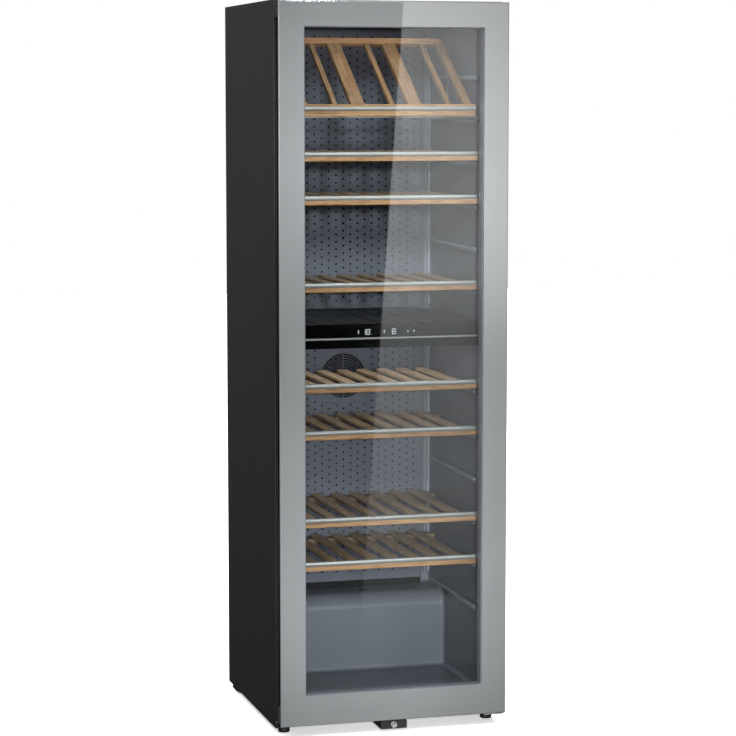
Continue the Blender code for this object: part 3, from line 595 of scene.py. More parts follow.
# ---------------------------------------------------------------- CAD nodes that stay
KEPT = {  # look, how wide its edges are rounded, in how many steps
    "top_panel": ("side_paint", 0.0004),
    "base_plate": ("zinc_steel", 0.0005),
    "foam_insulation": ("foam",),
    "upper_fan_bracket": ("black_paint",),
    "upper_evaporator": ("black_paint",),
    "lower_evaporator": ("black_paint",),
    "drip_tray": ("black_plastic", 0.0010),
    "mains_inlet": ("black_plastic",),
    "divider_housing": ("gloss_black", 0.0008),
    "divider_trim_strip": ("aluminium", 0.0006, 3),
    "control_board": ("circuit_board",),
    "lower_led_lamp": ("led_lens", 0.0008),
    "upper_led_lamp": ("led_lens", 0.0010),
    "top_hinge_bracket": ("zinc_steel", 0.0005),
    "bottom_hinge_bracket": ("zinc_steel", 0.0005),
    "lock_housing": ("black_plastic", 0.0012, 3),
    "lock_bolt": ("chrome", 0.0005),
    "door_outer_glass": ("glass",),
    "door_inner_glass": ("glass",),
    "door_glass_spacer": ("liner", 0.0004),
    "upper_fan_rotor": ("black_plastic", 0.0003),
    "lower_fan_rotor": ("black_plastic", 0.0003),
    "display_rack_stand": ("aluminium", 0.0004),
}


def keep(name, look, edge=0.0, segments=2):
    """A CAD node whose shape is right: a procedural finish, and its edges rounded by modifiers."""
    obj = frame["nodes"][name]
    obj.data.materials.clear()
    obj.data.materials.append(LOOKS[look])
    weld = obj.modifiers.new("weld", "WELD")
    weld.merge_threshold = 0.00001
    if edge:
        bevel = obj.modifiers.new("edges", "BEVEL")
        bevel.width = edge
        bevel.segments = segments
        bevel.limit_method = "ANGLE"
        bevel.angle_limit = radians(40)


# ---------------------------------------------------------------- cabinet
def side_panels():
    """Folded and painted sheets: a rounded fold runs down the front edge, and a flange along the back."""
    sheet, fold, lip, flange = 0.001, 0.0035, 0.014, 0.016
    outer, front, back = SIDE_LOW.x, CABINET_FRONT, SIDE_HIGH.y
    points = [(outer + lip, front), (outer + lip, front + sheet), (outer + fold, front + sheet)]
    points += [(outer + sheet, front + fold), (outer + sheet, back - sheet)]
    points += [(outer + flange, back - sheet), (outer + flange, back)]
    points += [(outer + x, back - y) for x, y in reversed(quarter(0.002))]
    points += [(outer + x, front + y) for x, y in quarter(fold, 5)]
    for name, side in (("side_panel_left", 1), ("side_panel_right", -1)):
        bm = bmesh.new()
        swept(bm, [(side * x, y) for x, y in points], SIDE_LOW.z, SIDE_HIGH.z, "Z")
        piece(name + "_skin", bm, ["side_paint"], "side_paint", name)


def liner_shell():
    """The moulded hollow: rounded corners, and the hump over the compressor with its long soft edge."""
    y, z, steps = HUMP_FRONT + HUMP_RADIUS, HUMP_TOP - HUMP_RADIUS, 10
    turns = [pi - i * pi / 2 / steps for i in range(steps + 1)]
    hump = [(y + HUMP_RADIUS * cos(a), z + HUMP_RADIUS * sin(a)) for a in turns]
    front = CABINET_FRONT + 0.004
    outline = [(front, CAVITY_FLOOR), (HUMP_FRONT, CAVITY_FLOOR), *hump]
    outline += [(CAVITY_BACK, HUMP_TOP), (CAVITY_BACK, CAVITY_TOP), (front, CAVITY_TOP)]
    bm = bmesh.new()
    left, right = [[bm.verts.new((x, y, z)) for y, z in outline] for x in (-CAVITY_HALF, CAVITY_HALF)]
    for i in range(len(outline) - 1):
        bm.faces.new((left[i], left[i + 1], right[i + 1], right[i]))
    bm.faces.new(left)
    bm.faces.new(right)
    face_out(bm)
    soft = []
    for edge in bm.edges:
        along_wall = abs(edge.verts[0].co.x - edge.verts[1].co.x) < 1e-6
        if len(edge.link_faces) == 2 and (along_wall or edge.calc_face_angle() > radians(30)):
            soft.append(edge)
    bmesh.ops.bevel(bm, geom=soft, offset=CORNER, segments=4, profile=0.5, affect="EDGES")
    centre = Vector((0, 0, (CAVITY_FLOOR + CAVITY_TOP) / 2))
    inward = 0.0
    for face in bm.faces:
        inward += copysign(face.calc_area(), (centre - face.calc_center_median()).dot(face.normal))
    if inward < 0:
        bmesh.ops.reverse_faces(bm, faces=bm.faces[:])
    thicken(bm, LINER_WALL)
    piece("liner_shell", bm, ["liner"], "liner", "inner_liner")


def liner_flange():
    """The liner's front rim, rolled round from the hollow to the door seal's landing."""
    mouth = (-CAVITY_HALF, CAVITY_FLOOR, CAVITY_HALF, CAVITY_TOP)
    rim, edge, back = 0.0045, SIDE_LOW.x + 0.0145, CABINET_FRONT + LINER_WALL
    outer = (edge, LINER_LOW.z, -edge, LINER_HIGH.z)
    loops = [(mouth, CABINET_FRONT + rim)]
    loops += [(grow(mouth, x), CABINET_FRONT + y) for x, y in quarter(rim, 5)[1:]]
    loops += [(outer, CABINET_FRONT), (outer, back), (grow(mouth, rim + 0.001), back)]
    loops.append((grow(mouth, 0.001), CABINET_FRONT + rim))
    bm = bmesh.new()
    framed(bm, loops)
    piece("liner_flange", bm, ["liner"], "liner")


def liner_ledges():
    """Moulded shelf runners, thicker towards the front, with the corner ridges beside the duct panels."""
    bm = bmesh.new()
    wall, back = CAVITY_HALF + MERGED, CAVITY_BACK + MERGED
    for side in (-1, 1):
        thick, slim, rib = [(side * wall, side * (CAVITY_HALF - out)) for out in (0.012, 0.009, 0.0022)]
        for z in UPPER_LEDGES + LOWER_LEDGES:
            between(bm, thick, (LEDGE_FRONT, -0.030), (z - 0.0095, z + 0.004), 0.0055, 4)
            between(bm, slim, (-0.036, LEDGE_BACK), (z - 0.0035, z + 0.0035), 0.0033, 4)
        for span in RIDGE_SPANS:
            for inner, outer in ((0.2372, 0.2434), (0.2450, 0.2545)):
                between(bm, (side * inner, side * outer), (0.2195, back), span, 0.0030, 4)
        for y in (-0.2405, -0.2275):
            between(bm, rib, (y - 0.0035, y + 0.0035), (CAVITY_FLOOR + 0.012, CAVITY_TOP - 0.012), 0.0010)
    # Runners, ridges and ribs take the liner's plastic painted lighter: painted light on them.
    piece("liner_ledges", bm, ["ledge"], "liner")


def liner_sensor():
    """The temperature sensor's slotted cap on the right wall, and the drain's mouth on the hump."""
    bm = bmesh.new()
    y, z, slot_pitch = 0.064, 0.283, 0.0032
    cap = [(0, 0.007), (0.0055, 0.0065), (0.0075, 0.005), (0.0105, 0.0035), (0.011, 0), (0.011, -0.001)]
    lathe(bm, [*cap, (0, -0.001)], (CAVITY_HALF, y, z), (-1, 0, 0), 32)
    for i in range(4):
        level = z + (i - 1.5) * slot_pitch
        low = (CAVITY_HALF - 0.0082, y - 0.0045, level - 0.0007)
        block(bm, low, (CAVITY_HALF - 0.0055, y + 0.0045, level + 0.0007), 0.0003, 1, 1)
    drain = (0.042, 0.145, HUMP_TOP)
    ring = [(0.0085, 0.0004), (0.0095, 0.0012), (0.0125, 0.0012), (0.0140, 0.0002), (0.0085, -0.0006)]
    lathe(bm, ring, drain, UP, 40, 1, True)
    lathe(bm, [(0, 0.0004), (0.0087, 0.0004), (0.0087, -0.0004), (0, -0.0004)], drain, UP, 32)
    piece("air_sensor_cap", bm, ["black_plastic", "grey_plastic"], "black_plastic")


def duct_backs():
    """Black sheets behind each perforated sheet, painted shade that shows through its holes, and a black
    block in the gap under the lower one, painted shade.
    """
    for name, (low, high) in (("upper", UPPER_DUCT), ("lower", LOWER_DUCT)):
        reach = high.x - 0.004
        bm = bmesh.new()
        block(bm, (-reach, 0.2195, low.z + 0.004), (reach, 0.2245, high.z - 0.004), 0.0015)
        piece(f"{name}_duct_painted_shade", bm, ["hole_painted_shade"], "foam")
    low, high = LOWER_DUCT
    reach = high.x - 0.001
    bm = bmesh.new()
    block(bm, (-reach, low.y + 0.004, HUMP_TOP + 0.0008), (reach, 0.2255, low.z - 0.0006), 0.0015)
    piece("duct_gap_painted_shade", bm, ["hole_painted_shade"], "liner")


def duct_sheet(name, low, high, fan_z=None):
    """A perforated sheet folded back along both sides. Each column of holes is half a pitch off the last."""
    fold, face, half, step = quarter(0.003, 3), low.y, high.x, HOLE_PITCH / 2
    path = [(-half, high.y)] + [(-half + x, face + y) for x, y in fold]
    first, last = len(path), len(path) + HOLE_COLUMNS
    path += [((i - HOLE_COLUMNS / 2) * HOLE_PITCH, face) for i in range(HOLE_COLUMNS + 1)]
    path += [(half - x, face + y) for x, y in reversed(fold)] + [(half, high.y)]
    base, steps = (fan_z, range(-80, 80)) if fan_z else (low.z, range(160))
    levels = [z for z in (base + step * i for i in steps) if low.z + 0.002 < z < high.z - 0.002]
    levels = [low.z, *levels, high.z]
    start = 1 if levels[1] - levels[0] < step - 1e-6 else 0
    part = bmesh.new()

    def blocked(i, k, tall):
        """True where the plain plate round the fan is."""
        if not fan_z or not first <= i < last:
            return False
        top = levels[min(k + tall, len(levels) - 1)]
        near = abs(path[i][0] + path[i + 1][0]) / 2 < FAN_PLATE
        return near and top > fan_z - FAN_PLATE + 1e-6 and levels[k] < fan_z + FAN_PLATE - 1e-6

    def holed(i, k):
        """True where the cell from this level to the next but one has a hole."""
        if not first <= i < last or not start < k < len(levels) - 3:
            return False
        even = abs(levels[k + 2] - levels[k] - HOLE_PITCH) < 1e-6
        return even and (k - start) % 2 == (i - first) % 2 and not blocked(i, k, 2)

    def hole_cell(i, k):
        """The cell in two halves round its hole."""
        x0, x1, z = path[i][0], path[i + 1][0], levels[k + 1]
        for way, end in ((1, levels[k + 2]), (-1, levels[k])):
            shape = [(x1, z), (x1, end), (x0, end), (x0, z)]
            for turn in (4, 3, 2, 1, 0):
                across, along = cos(turn * pi / 4), sin(turn * pi / 4)
                shape.append(((x0 + x1) / 2 + HOLE_RADIUS * across, z + way * HOLE_RADIUS * along))
            part.faces.new([part.verts.new((x, face, z)) for x, z in shape])

    for i in range(len(path) - 1):
        k = 0
        while k < len(levels) - 1:
            if holed(i, k):
                hole_cell(i, k)
                k += 2
                continue
            if not blocked(i, k, 1):
                corners = ((i, k), (i + 1, k), (i + 1, k + 1), (i, k + 1))
                part.faces.new([part.verts.new((*path[a], levels[b])) for a, b in corners])
            k += 1
    if fan_z:
        edge = []
        for x, z, along_x, along_z in ((-1, -1, 1, 0), (1, -1, 0, 1), (1, 1, -1, 0), (-1, 1, 0, -1)):
            for i in range(round(2 * FAN_PLATE / step)):
                edge.append((x * FAN_PLATE + along_x * i * step, z * FAN_PLATE + along_z * i * step))
        rim = [Vector(place).normalized() * (FAN_RADIUS + 0.0004) for place in edge]
        for i in range(len(edge)):
            j = (i + 1) % len(edge)
            shape = [edge[i], edge[j], rim[j], rim[i]]
            part.faces.new([part.verts.new((x, face, fan_z + z)) for x, z in shape])
    bmesh.ops.remove_doubles(part, verts=part.verts, dist=0.00002)
    face_out(part)
    front = [f for f in part.faces if abs(f.calc_center_median().y - face) < 1e-5]
    if sum(f.normal.y for f in front) > 0:
        bmesh.ops.reverse_faces(part, faces=part.faces[:])
    thicken(part, 0.0012)
    piece(name + "_skin", part, ["duct_metal"], "duct_metal", name)


def fan_grille():
    """Concentric round bars on a cross, in front of the fan."""
    bm = bmesh.new()
    front, deep, bars, bar = GRILLE_LOW.y, 0.0026, 8, 0.0014
    centre = (0, front + deep / 2, FAN_Z)
    turns = [i * tau / 6 for i in range(6)]
    for i in range(bars + 1):
        at = FAN_RADIUS - bar - i * (FAN_RADIUS - 0.011) / bars
        section = [(at + bar * cos(a), deep / 2 * sin(a)) for a in turns]
        lathe(bm, section, centre, TO_USER, 72, closed=True)
    boss = [(0, 0.0014), (0.006, 0.0014), (0.0075, 0.0004), (0.0075, -0.001), (0, -0.001)]
    lathe(bm, boss, centre, TO_USER, 40)
    reach = FAN_RADIUS - 0.001
    for turn in (0, pi / 2):
        spoke = Matrix.Translation(centre) @ Matrix.Rotation(turn, 4, "Y")
        block(bm, (-reach, -0.0014, -0.0015), (reach, 0.001, 0.0015), 0.0004, 2, 0, spoke)
    wire(bm, (0, front + 0.002, FAN_Z), (0, GRILLE_HIGH.y, FAN_Z), 0.003, 16)
    piece("fan_grille_bars", bm, ["duct_metal"], "black_plastic", "lower_fan_grille")


def rear_panel():
    """The zinc-plated back sheet, stiffened by pressed ribs and held by screws along both sides."""
    low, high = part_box("rear_panel")
    bm = bmesh.new()
    block(bm, low, high, 0.0003, 1)
    for i in range(-2, 3):
        x, y = i * 0.095, high.y
        block(bm, (x - 0.012, y - 0.0008, low.z + 0.060), (x + 0.012, y + 0.0016, high.z - 0.070), 0.0014)
    for side in (-1, 1):
        for i in range(7):
            z = low.z + 0.040 + i * (high.z - low.z - 0.080) / 6
            screw_head(bm, (side * (high.x - 0.008), high.y, z), (0, 1, 0), 0.0042, 1)
    piece("rear_panel_sheet", bm, ["zinc_steel", "black_paint"], "zinc_steel", "rear_panel")


def condenser():
    """Heat exchanger on the back: one serpentine tube, with thin wires welded across both sides."""
    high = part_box("condenser")[1]
    runs, pitch, tube, inset, wires = 12, 0.125, 0.0028, 0.018, 40
    reach, y, top = high.x - tube, high.y - tube, high.z - tube
    bottom = top - (runs - 1) * pitch
    points = []
    for i in range(runs):
        near = reach if i % 2 else -reach
        points += [(near, y, top - i * pitch), (-near, y, top - i * pitch)]
    points += [(-reach, y, 0.160), (-0.120, y, 0.110), (-0.078, 0.245, 0.110)]
    pipe("condenser_tube", bends(points, 0.016, 6), tube, "black_paint", "condenser")
    bm = bmesh.new()
    for i in range(wires):
        x = (i - (wires - 1) / 2) * 2 * (reach - inset) / (wires - 1)
        depth = y + (0.0034 if i % 2 else -0.0034)
        wire(bm, (x, depth, bottom - 0.010), (x, depth, top + 0.010), 0.0008, 6)
    piece("condenser_wires", bm, ["black_paint"], "black_paint")
    bm = bmesh.new()
    for x in (inset - reach, reach - inset):
        for z in (top - 0.5 * pitch, bottom + 0.5 * pitch, (top + bottom) / 2):
            block(bm, (x - 0.006, 0.2812, z - 0.010), (x + 0.006, y + 0.002, z + 0.010), 0.0012)
            screw_head(bm, (x, y + 0.002, z), (0, 1, 0), 0.0035, 1)
    piece("condenser_brackets", bm, ["black_plastic", "zinc_steel"], "black_plastic")


def compressor():
    """The welded shell with its seam, terminal cover, rails, rubber feet and the soldered pipes."""
    low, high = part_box("compressor")
    tall, steps = high.z - low.z, 16

    def at(x, y, z):
        return Vector((x, 0.216 + y, low.z + z))

    turns = [i * pi / 2 / steps for i in range(steps + 1)]
    shell = [(0, tall)] + [(0.067 * sin(a), tall - 0.050 * (1 - cos(a))) for a in turns[1:]]
    seam = [(0.067, 0.083), (0.0705, 0.082), (0.071, 0.080), (0.071, 0.074), (0.0705, 0.072), (0.067, 0.071)]
    shell += seam
    shell += [(0.066 * cos(a), 0.040 - 0.034 * sin(a)) for a in turns[:-1]] + [(0, 0.006)]
    bm = bmesh.new()
    lathe(bm, shell, at(0, 0, 0), UP, 72)
    for y in (-0.010, 0.007):
        block(bm, at(-0.100, y, 0), at(0.100, y + 0.003, 0.010), 0.0008)
    block(bm, at(-0.100, -0.010, 0.0085), at(0.100, 0.010, 0.010), 0.0005)
    piece("compressor_shell", bm, ["black_paint"], "black_paint", "compressor")
    bm = bmesh.new()
    block(bm, at(0.060, -0.026, 0.055), at(0.092, 0.026, 0.110), 0.004, 3)
    for i in range(4):
        z = 0.067 + i * 0.010
        block(bm, at(0.0914, -0.018, z), at(0.0928, 0.018, z + 0.003), 0.0006)
    piece("compressor_terminal_cover", bm, ["black_plastic"], "black_plastic")
    bm = bmesh.new()
    foot = [(0.004, 0.0), (0.009, 0.0), (0.011, 0.002), (0.008, 0.005), (0.010, 0.0075)]
    foot += [(0.0085, 0.0105), (0.004, 0.0105)]
    for x in (-0.088, 0.088):
        lathe(bm, foot, at(x, 0, 0), UP, 28, closed=True)
        screw_head(bm, at(x, 0, 0.0105), UP, 0.005, 1)
    piece("compressor_mounts", bm, ["gasket", "zinc_steel"], "gasket")
    suction = [at(-0.062, 0.012, 0.060), at(-0.092, 0.016, 0.060)]
    suction += [at(-0.092, 0.022, 0.140), at(-0.072, 0.026, 0.178)]
    pipe("suction_pipe", bends(suction, 0.010), 0.0032, "copper")
    process = [at(-0.058, 0.034, 0.048), at(-0.082, 0.048, 0.048), at(-0.094, 0.048, 0.070)]
    pipe("process_pipe", bends(process, 0.008), 0.0024, "copper")
    bm = bmesh.new()
    can = [(0, 0.104), (0.003, 0.104), (0.003, 0.096), (0.0095, 0.088), (0.0095, 0.016), (0.003, 0.008)]
    lathe(bm, [*can, (0.003, 0), (0, 0)], at(0.150, 0.020, 0.040), UP, 32)
    piece("filter_drier", bm, ["copper"], "black_paint")


def machine_room():
    """Zinc-plated sheet that lines the recess round the compressor."""
    low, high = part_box("foam_insulation")
    sheet, top, front, back = 0.0008, 0.2142, 0.1363, 0.2795
    points = [(front, low.z), (front, top), (back, top), (back, top - sheet)]
    points += [(front + sheet, top - sheet), (front + sheet, low.z)]
    bm = bmesh.new()
    swept(bm, points, -high.x, high.x)
    piece("machine_room_lining", bm, ["zinc_steel"], "zinc_steel")


def fasteners():
    """Screws that hold both hinges."""
    bm = bmesh.new()
    low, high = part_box("top_hinge_bracket")
    for x in (0.252, 0.276):
        screw_head(bm, (x, low.y + 0.030, high.z), UP, 0.003)
    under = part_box("bottom_hinge_bracket")[0].z
    for y in (-0.216, -0.240):
        screw_head(bm, (0.254, y, under), (0, 0, -1), 0.0035)
    piece("hinge_screws", bm, ["zinc_steel"], "zinc_steel")


# ---------------------------------------------------------------- zone divider
def deck():
    """The divider's ribbed deck, made like a shelf in black."""
    low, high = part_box("divider_shelf")
    bm = bmesh.new()
    block(bm, low, (high.x, high.y, high.z - 0.0028), 0.0008)
    for i in range(SLATS + 1):
        x = (i - SLATS / 2) * SLAT_PITCH
        near = (x - 0.0125, low.y + 0.001, high.z - 0.0040)
        block(bm, near, (x + 0.0125, high.y - 0.004, high.z), 0.0012, 3)
    piece("divider_deck", bm, ["grey_plastic"], "black_plastic", "divider_shelf")


def digit(bm, bars, x, y, z, high):
    """A digit of the bars named, or of all seven when bars is None."""
    wide, bar = high * 0.62, high * 0.075
    places = {
        "top": ((0, high - bar), (wide, high)),
        "mid": ((0, high / 2 - bar / 2), (wide, high / 2 + bar / 2)),
        "low": ((0, 0), (wide, bar)),
        "left_up": ((0, high / 2), (bar, high)),
        "left_down": ((0, 0), (bar, high / 2)),
        "right_up": ((wide - bar, high / 2), (wide, high)),
        "right_down": ((wide - bar, 0), (wide, high / 2)),
    }
    for name in bars or places:
        (x0, z0), (x1, z1) = places[name]
        block(bm, (x + x0, y - 0.0001, z + z0), (x + x1, y + 0.0006, z + z1), 0.00008, 1)


def fascia():
    """The gloss control strip, its two temperature readouts and its touch marks."""
    low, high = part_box("control_fascia")
    bm = bmesh.new()
    block(bm, low, high, 0.0012, 3)
    piece("control_fascia_panel", bm, ["gloss_black"], "gloss_black", "control_fascia")
    bm = bmesh.new()
    tall, face = 0.0138, low.y
    middle = low.z + (high.z - low.z) * 0.40

    def mark(x, z, wide, high_by):
        near = (x - wide / 2, face - 0.0001, z - high_by / 2)
        block(bm, near, (x + wide / 2, face + 0.0005, z + high_by / 2), 0.0001, 1)

    def ring(x, z, inner, outer, steps):
        section = [(inner, 0.0001), (outer, 0.0001), (outer, -0.0004), (inner, -0.0004)]
        lathe(bm, section, (x, face, z), TO_USER, steps, closed=True)

    digit(bm, ("right_up", "right_down"), -0.066, face, middle - tall / 2, tall)
    for centre in (-0.054, 0.014):
        digit(bm, None, centre - 0.0010, face, middle - tall / 2, tall)
        ring(centre + 0.0098, middle + tall / 2 - 0.0010, 0.0005, 0.0009, 16)
        mark(centre + 0.0105, middle - 0.0044, 0.0018, 0.0008)
        mark(centre - 0.0220, middle, 0.0012, 0.0060)
        mark(centre - 0.0220, middle + 0.0030, 0.0050, 0.0008)
        mark(centre - 0.0220, middle - 0.0030, 0.0036, 0.0008)
    for x in (0.055, 0.071):
        ring(x, middle, 0.0014, 0.0021, 20)
    piece("readouts", bm, ["digits"], "led_lens")


# ---------------------------------------------------------------- shelves and display rack
def strip_profile(front, top, tall, wrap):
    """A rolled strip's section as (y, z): its face bulges forward, and wrap runs back over the top."""
    steps, bulge, sheet = 8, 0.0010, 0.0006
    face = []
    for i in range(steps + 1):
        t = i / steps
        face.append((front + bulge * (2 * t - 1) ** 2, top - tall + tall * t * 0.96))
    points = [(front + 0.0016, top - tall), *face, (front + 0.0018, top)]
    if wrap:
        points += [(front + wrap, top), (front + wrap, top - sheet)]
    return [*points, (front + 0.0016, top - sheet)]


def shelf(number):
    """A beech shelf: a front bar, slats from front to back with gaps for air, and two cross rails."""
    node, strip, body = f"shelf_{number}", f"shelf_strip_{number}", f"shelf_body_{number}"
    low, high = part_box(node)
    strip_low, strip_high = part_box(strip)
    top, back, under = strip_high.z, high.y, strip_high.z - 0.0265
    bm = bmesh.new()
    block(bm, (low.x, low.y, top - SHELF_BAR), (high.x, low.y + 0.0182, top - 0.0008), 0.0016, 3)
    slats = [(i - (SLATS - 1) / 2) * SLAT_PITCH for i in range(SLATS)]
    for x in slats:
        slat_low = (x - SLAT_WIDTH / 2, low.y + 0.0175, top - 0.010)
        block(bm, slat_low, (x + SLAT_WIDTH / 2, back, top - 0.002), 0.0022, 3, 1)
    # The cross rails wear the darker beech: painted shade under the slats.
    for y in (strip_low.y + 0.0175, back - 0.034):
        block(bm, (low.x + 0.001, y, under), (high.x - 0.001, y + 0.030, top - 0.0094), 0.0016, 2, 3)
        for x in slats:
            screw_head(bm, (x, y + 0.015, under), (0, 0, -1), 0.003, 2)
    piece(node + "_wood", bm, ["wood", "wood_back", "zinc_steel", "wood_rail_painted_shade"], "wood", node, body=body)
    bm = bmesh.new()
    swept(bm, strip_profile(strip_low.y, top, 0.0115, 0.012), strip_low.x, strip_high.x)
    piece(node + "_trim", bm, ["aluminium"], "aluminium", strip, body=body)


def display_rack():
    """The inclined display frame: wide boards with narrow cradles between, a header and a front rail."""
    low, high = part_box("display_rack_frame")
    strip_low, strip_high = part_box("display_rack_strip")
    bm = bmesh.new()
    block(bm, low, (high.x, low.y + 0.018, low.z + 0.031), 0.0018, 3)
    slope = Matrix.Translation((0, low.y + 0.010, low.z + 0.016)) @ Matrix.Rotation(RACK_ANGLE, 4, "X")
    thick, reach = 0.016, 1.5 * RACK_PITCH
    bars = [(x, 0.036, thick, 0.0024) for x in (-RACK_PITCH / 2, RACK_PITCH / 2)]
    bars += [(side * (reach - 0.009), 0.020, thick, 0.0024) for side in (-1, 1)]
    bars += [(i * RACK_PITCH + 0.092, 0.013, thick - 0.004, 0.0020) for i in (-1.5, -0.5, 0.5)]
    for x, wide, deep, radius in bars:
        end = (x + wide / 2, RACK_LENGTH - 0.026, deep)
        block(bm, (x - wide / 2, 0.006, 0), end, radius, 3, 1, slope)
    header = (reach, RACK_LENGTH, thick - 0.0006)
    block(bm, (-reach, RACK_LENGTH - 0.028, 0.0035), header, 0.0024, 3, 0, slope)
    piece("display_rack_wood", bm, ["wood", "wood_slope"], "wood", "display_rack_frame", body="display_rack")
    bm = bmesh.new()
    section = strip_profile(strip_low.y, strip_high.z, strip_high.z - strip_low.z, 0.0)
    swept(bm, section, strip_low.x, strip_high.x)
    piece("display_rack_trim", bm, ["aluminium"], "aluminium", "display_rack_strip", body="display_rack")


# ---------------------------------------------------------------- door
def door_front():
    """The flush silver frame: its outer edges are well rounded, and its window edge is crisp."""
    outer = (DOOR_LOW.x, DOOR_LOW.z, DOOR_HIGH.x, DOOR_HIGH.z)
    window = grow((GLASS_LOW.x, GLASS_LOW.z, GLASS_HIGH.x, GLASS_HIGH.z), GAP)
    front, back, crisp = DOOR_LOW.y, DOOR_HIGH.y, 0.0006
    loops = [(outer, back)]
    loops += [(grow(outer, -x), front + y) for x, y in quarter(0.0030, 6)]
    loops += [(grow(window, crisp), front), (grow(window, crisp * 0.3), front + crisp * 0.3)]
    loops += [(window, front + crisp), (window, back)]
    bm = bmesh.new()
    framed(bm, loops)
    piece("door_front_skin", bm, ["door_silver"], "door_silver", "door_front_frame", body="door")


def door_core():
    """The moulded frame behind the glass, with the channel that holds the seal and the bolt's pocket."""
    outer = (CORE_LOW.x, CORE_LOW.z, CORE_HIGH.x, CORE_HIGH.z)
    opening = (-0.2375, 0.105, 0.2375, 1.796)
    gasket_low, gasket_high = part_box("door_gasket")
    seal = (gasket_low.x, gasket_low.z, gasket_high.x, gasket_high.z)
    front, back = CORE_LOW.y, CORE_HIGH.y
    loops = [(outer, front)]
    loops += [(grow(outer, -x), back - y) for x, y in quarter(0.0025)]
    for rim, deep in ((0.0022, 0.0), (0.0014, 0.0012), (-0.0160, 0.0012), (-0.0168, 0.0)):
        loops.append((grow(seal, rim), back - deep))
    loops += [(grow(opening, x), back - y) for x, y in reversed(quarter(0.0025))]
    loops.append((opening, front))
    bm = bmesh.new()
    framed(bm, loops)
    carve(bm, *BOLT_POCKET)
    piece("door_core_frame", bm, ["matt_black"], "black_plastic", "door_inner_frame", body="door")


def gasket():
    """A magnetic seal: a soft bellows with a flat face, mitred at its corners."""
    low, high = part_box("door_gasket")
    outer = (low.x, low.z, high.x, high.z)
    wide, deep = 0.015, high.y - low.y
    side = [(0.0, 0.0), (0.0, 0.16), (0.14, 0.26), (0.16, 0.36), (0.02, 0.46), (0.02, 0.58), (0.15, 0.68)]
    side += [(0.05, 0.80), (0.0, 0.90), (0.06, 1.0)]
    section = side + [(1 - across, along) for across, along in reversed(side)]
    bm = bmesh.new()
    framed(bm, [(grow(outer, -wide * across), low.y + deep * along) for across, along in section])
    piece("door_seal", bm, ["gasket"], "gasket", "door_gasket", body="door")


def grip():
    """The recessed grip along the door's left side, with an end block at the top and the bottom."""
    low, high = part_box("door_grip_strip")
    floor_z, roof_z = 0.075, 1.815
    bm = bmesh.new()
    block(bm, (high.x - 0.0022, low.y, low.z), high, 0.0006)
    for near, far in ((low.y, low.y + 0.0040), (high.y - 0.0022, high.y)):
        block(bm, (low.x + 0.0006, near, floor_z - 0.002), (high.x, far, roof_z + 0.002), 0.0008, 3)
    for z_low, z_high in ((low.z, floor_z), (roof_z, high.z)):
        block(bm, (low.x, low.y, z_low), (high.x, high.y, z_high), 0.0012, 3, 1)
        for step in (-0.008, 0.0, 0.008):
            z = (z_low + z_high) / 2 + step
            near = (low.x - 0.0003, low.y + 0.008, z - 0.0012)
            block(bm, near, (low.x + 0.001, high.y - 0.008, z + 0.0012), 0.0005, 1, 1)
    looks = ["matt_black", "grey_plastic"]
    piece("door_grip", bm, looks, "black_plastic", "door_grip_strip", body="door")


# ---------------------------------------------------------------- feet, rollers and lock
def feet():
    for name in ("front_foot_left", "front_foot_right"):
        low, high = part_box(name)
        body = name.replace("front_foot", "foot")
        centre = ((low.x + high.x) / 2, (low.y + high.y) / 2, 0)
        radius = (high.x - low.x) / 2
        disc = [(0, 0.013), (0.0075, 0.013), (0.0078, 0.0115), (0.0130, 0.0112), (0.0146, 0.0104)]
        disc += [(radius, 0.0086), (radius, 0.0018), (0.0143, 0.0004), (0.0135, 0.0), (0, 0.0)]
        bm = bmesh.new()
        lathe(bm, disc, centre, UP, 48)
        for i in range(24):
            rib = Matrix.Translation(centre) @ Matrix.Rotation(i * tau / 24, 4, "Z")
            near, far = (radius - 0.0012, -0.0006, 0.0022), (radius - 0.00002, 0.0006, 0.0082)
            block(bm, near, far, 0.0002, 1, 0, rib)
        pitch, start = 0.0015, 0.0125
        thread = [(0, start)]
        for i in range(22):
            z = start + i * pitch
            thread += [(0.0050, z + 0.25 * pitch), (0.0044, z + 0.85 * pitch)]
        lathe(bm, [*thread, (0, high.z)], centre, UP, 28, 1)
        looks = ["black_plastic", "zinc_steel"]
        piece(f"{body}_pad", bm, looks, "black_plastic", name, body=body)


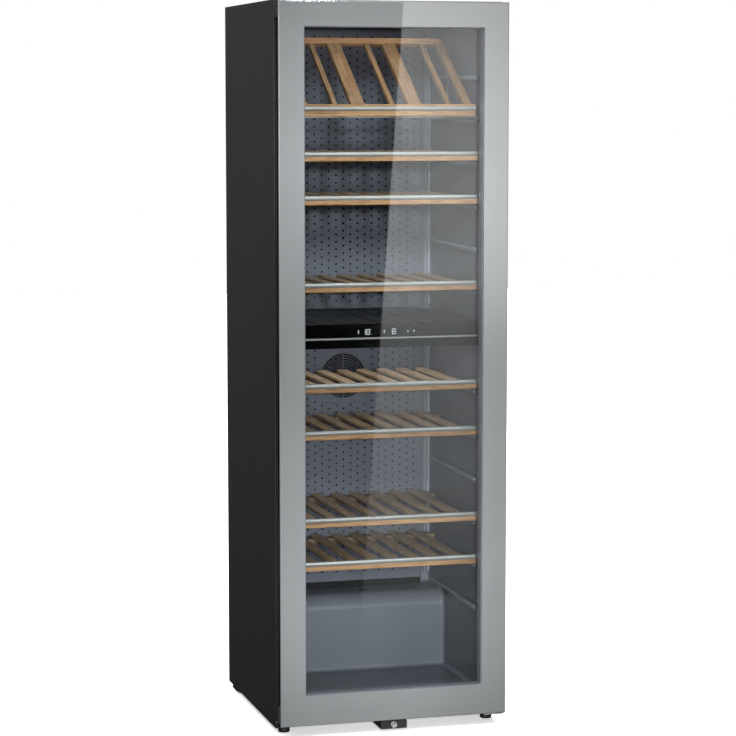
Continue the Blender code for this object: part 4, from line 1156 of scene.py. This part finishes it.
def rollers():
    """The rear rollers, each with spokes and an axle, and the covers over the cheeks that hold them."""
    covers = bmesh.new()
    for name in ("rear_roller_left", "rear_roller_right"):
        low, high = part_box(name)
        body = name.replace("rear_", "")
        x, y, z = centre = (Vector(low) + Vector(high)) / 2
        radius, half = (high.z - low.z) / 2, 0.0135
        rim = [(0.0034, half - 0.003), (0.0085, half - 0.003), (0.0092, half)]
        rim += [(radius - 0.0012, half), (radius, half - 0.0012)]
        bm = bmesh.new()
        lathe(bm, rim + [(r, -h) for r, h in reversed(rim)], centre, (1, 0, 0), 56, closed=True)
        wire(bm, (low.x, y, z), (high.x, y, z), 0.003, 20, 1)
        for side in (-1, 1):
            near, far = sorted((side * (half - 0.0032), side * (half - 0.0008)))
            for i in range(5):
                spoke = Matrix.Translation(centre) @ Matrix.Rotation(i * tau / 5, 4, "X")
                block(bm, (near, -0.0010, 0.0034), (far, 0.0010, 0.0090), 0.0003, 1, 0, spoke)
            sides = (x + side * 0.0178, x + side * 0.0198)
            between(covers, sides, (y - 0.012, y + 0.050), (0.005, 0.0295), 0.0008, 3)
            cap = [(0, 0.0008), (0.0034, 0.0008), (0.0044, 0), (0, 0)]
            lathe(covers, cap, (sides[1], y, z), (side, 0, 0), 24)
        between(covers, (x - 0.0198, x + 0.0198), (y + 0.0465, y + 0.050), (0.005, 0.0295), 0.0008, 3)
        looks = ["black_plastic", "zinc_steel"]
        piece(f"{body}_wheel", bm, looks, "black_plastic", name, body=body)
    piece("roller_housings", covers, ["black_plastic"], "black_plastic")


def lock():
    """The cylinder's face: a polished ring round a turning plug with its keyway."""
    low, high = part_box("lock_cylinder")
    centre = ((low.x + high.x) / 2, high.y, (low.z + high.z) / 2)
    radius, length = (high.x - low.x) / 2, high.y - low.y
    plug, slot_half, slot_deep, steps = 0.0046, 0.0008, 0.004, 24
    hole, face = plug + 0.0009, low.y + 0.0004
    ring = [(hole, length - 0.0012), (hole + 0.0003, length - 0.0002), (plug + 0.0018, length)]
    ring += [(radius - 0.0008, length), (radius, length - 0.0008), (radius, 0), (hole, 0)]
    bm = bmesh.new()
    lathe(bm, ring, centre, TO_USER, 48, closed=True)
    start = asin(slot_half / plug)
    turns = [-pi / 2 + start + i * (pi - 2 * start) / steps for i in range(steps + 1)]
    for side in (-1, 1):
        half = [(centre[0] + side * plug * cos(a), centre[2] + plug * sin(a)) for a in turns]
        swept(bm, half, face, face + slot_deep, "Y")
    deep = length - slot_deep - 0.0002
    # The core behind the keyway and round the plug is near-black: painted shade in the hollows.
    lathe(bm, [(0, deep), (hole, deep), (hole, 0.001), (0, 0.001)], centre, TO_USER, 32, 1)
    looks = ["satin_steel", "hole_painted_shade"]
    piece("lock_cylinder_face", bm, looks, "chrome", "lock_cylinder", body="lock_barrel")


# ---------------------------------------------------------------- the scene
bpy.context.scene.view_settings.view_transform = "Standard"
camera()
world()
floor()
lights()
for kept, finish in KEPT.items():
    keep(kept, *finish)
side_panels()
liner_shell()
liner_flange()
liner_ledges()
liner_sensor()
duct_backs()
duct_sheet("upper_duct_panel", *UPPER_DUCT)
duct_sheet("lower_duct_panel", *LOWER_DUCT, FAN_Z)
fan_grille()
rear_panel()
condenser()
compressor()
machine_room()
fasteners()
deck()
fascia()
for shelf_number in SHELVES:
    shelf(shelf_number)
display_rack()
door_front()
door_core()
gasket()
grip()
feet()
rollers()
lock()
